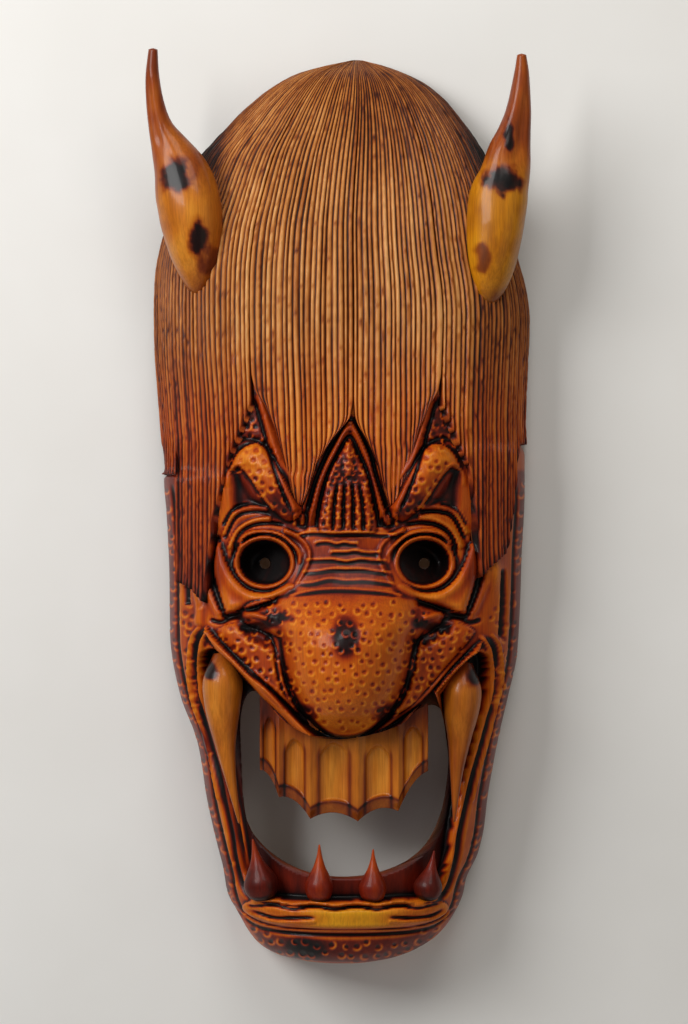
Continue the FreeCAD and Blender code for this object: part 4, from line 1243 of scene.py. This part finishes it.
# ---- stage ----
def build_stage():
    """A pale wall just behind the mask, seen from the front only, and a pale floor below."""
    s = Shader("pale_wall")
    speck = s.noise(6, detail=3)
    s.join(s.ramp(speck, [(0.3, (0.8, 0.785, 0.75)), (0.7, (0.84, 0.83, 0.8))]), s.surface.inputs["Base Color"])
    s.surface.inputs["Roughness"].default_value = 0.7
    see_through = s.add("ShaderNodeBsdfTransparent")
    choose = s.add("ShaderNodeMixShader")
    s.join(s.add("ShaderNodeNewGeometry").outputs["Backfacing"], choose.inputs[0])
    s.join(s.surface.outputs[0], choose.inputs[1])
    s.join(see_through.outputs[0], choose.inputs[2])
    s.join(choose.outputs[0], s.tree.nodes["Material Output"].inputs["Surface"])
    half, low = 2.2, CHIN - 0.9
    back = WALL + 0.002
    wall = bpy.data.meshes.new("wall")
    wall.from_pydata([(-half, back, low), (half, back, low), (half, back, low + 3), (-half, back, low + 3)], [],
                     [(0, 1, 2, 3)])
    floor = bpy.data.meshes.new("floor")
    floor.from_pydata([(-half, -3, low), (half, -3, low), (half, 3, low), (-half, 3, low)], [], [(0, 1, 2, 3)])
    floor_paint = Shader("pale_floor")
    floor_paint.surface.inputs["Base Color"].default_value = (0.75, 0.74, 0.72, 1)
    floor_paint.surface.inputs["Roughness"].default_value = 0.8
    for mesh, material in ((wall, s.material), (floor, floor_paint.material)):
        mesh.materials.append(material)
        thing = bpy.data.objects.new("backdrop_" + mesh.name, mesh)
        bpy.context.scene.collection.objects.link(thing)
        if mesh is wall:
            thing.visible_shadow = False
            thing.visible_diffuse = False


def soft_light(name, energy, size, place_at, colour=(1, 1, 1)):
    data = bpy.data.lights.new(name, "AREA")
    data.energy, data.size, data.color = energy, size, colour
    lamp = bpy.data.objects.new(name, data)
    lamp.location = place_at
    aim = Vector((0, -0.05, CHIN + 0.3)) - Vector(place_at)
    lamp.rotation_euler = aim.to_track_quat("-Z", "Y").to_euler()
    bpy.context.scene.collection.objects.link(lamp)


def light_and_camera():
    middle = CHIN + 298 * MM
    soft_light("window", 23, 0.9, (-1.15, -1.15, middle + 0.7), (1.0, 0.99, 0.98))
    soft_light("overhead", 6, 0.7, (0.15, -1.0, middle + 1.0), (1.0, 0.97, 0.93))
    soft_light("fill", 2.2, 1.4, (1.3, -1.2, middle - 0.1), (1.0, 0.86, 0.6))
    soft_light("behind", 2, 1.2, (0.3, 1.4, middle + 0.5))
    world = bpy.data.worlds.new("pale_room")
    world.use_nodes = True
    sky = world.node_tree.nodes["Background"]
    sky.inputs["Color"].default_value = (0.9, 0.93, 1.0, 1)
    sky.inputs["Strength"].default_value = 0.16
    bpy.context.scene.world = world
    bpy.context.scene.view_settings.view_transform = "Standard"
    data = bpy.data.cameras.new("camera")
    data.sensor_width = SENSOR
    data.lens = SENSOR * VIEW_DISTANCE / VIEW_WIDTH
    camera = bpy.data.objects.new("camera", data)
    camera.location = (-0.001, FACE_PLANE - VIEW_DISTANCE, middle)
    camera.rotation_euler = (math.radians(90), 0, 0)
    bpy.context.scene.collection.objects.link(camera)
    bpy.context.scene.camera = camera


light_and_camera()
build_stage()
carved = varnished_wood("varnished_carving", CARVED, HONEY, 0.3, 0.14)
polished = varnished_wood("varnished_horn", HORN, HONEY, 0.22, 0.3)
build_face(carved)
build_hair(varnished_wood("varnished_hair", HAIR, CARVED, 0.36, 0.12))
build_horn("left", HORN_LEFT, [(-111, 519, 9, 9, 1.0), (-96, 477, 5, 9, 0.98), (-89, 460, 7, 12, 0.66)],
           [(0.55, 0.95, 0.5, 0.25)], 0.25, polished)
build_horn("right", HORN_RIGHT, [(102, 516, 11, 9, 1.0), (107, 545, 3, 9, 0.95), (90, 464, 7, 9, 0.62)],
           [(0.5, 0.9, 5.8, 0.2)], 1.0, polished)
build_fang("left", FANG_LEFT, 0.0, polished)
build_fang("right", FANG_RIGHT, 0.1, polished)
for tooth_name, sizes in LOWER_TEETH.items():
    build_lower_tooth(tooth_name, *sizes, carved)
build_upper_teeth(polished)
steel = plain_metal("zinc_plated_steel", (0.62, 0.61, 0.58), 0.28)
paint_node("hanger_strap", steel)
paint_node("hanger_ring", steel)
paint_node("hanger_screws", plain_metal("dull_brass", (0.62, 0.45, 0.18), 0.32))
for side_name in ("left", "right"):
    paint_node("horn_dowel_" + side_name, raw_wood("turned_dowel_" + side_name))
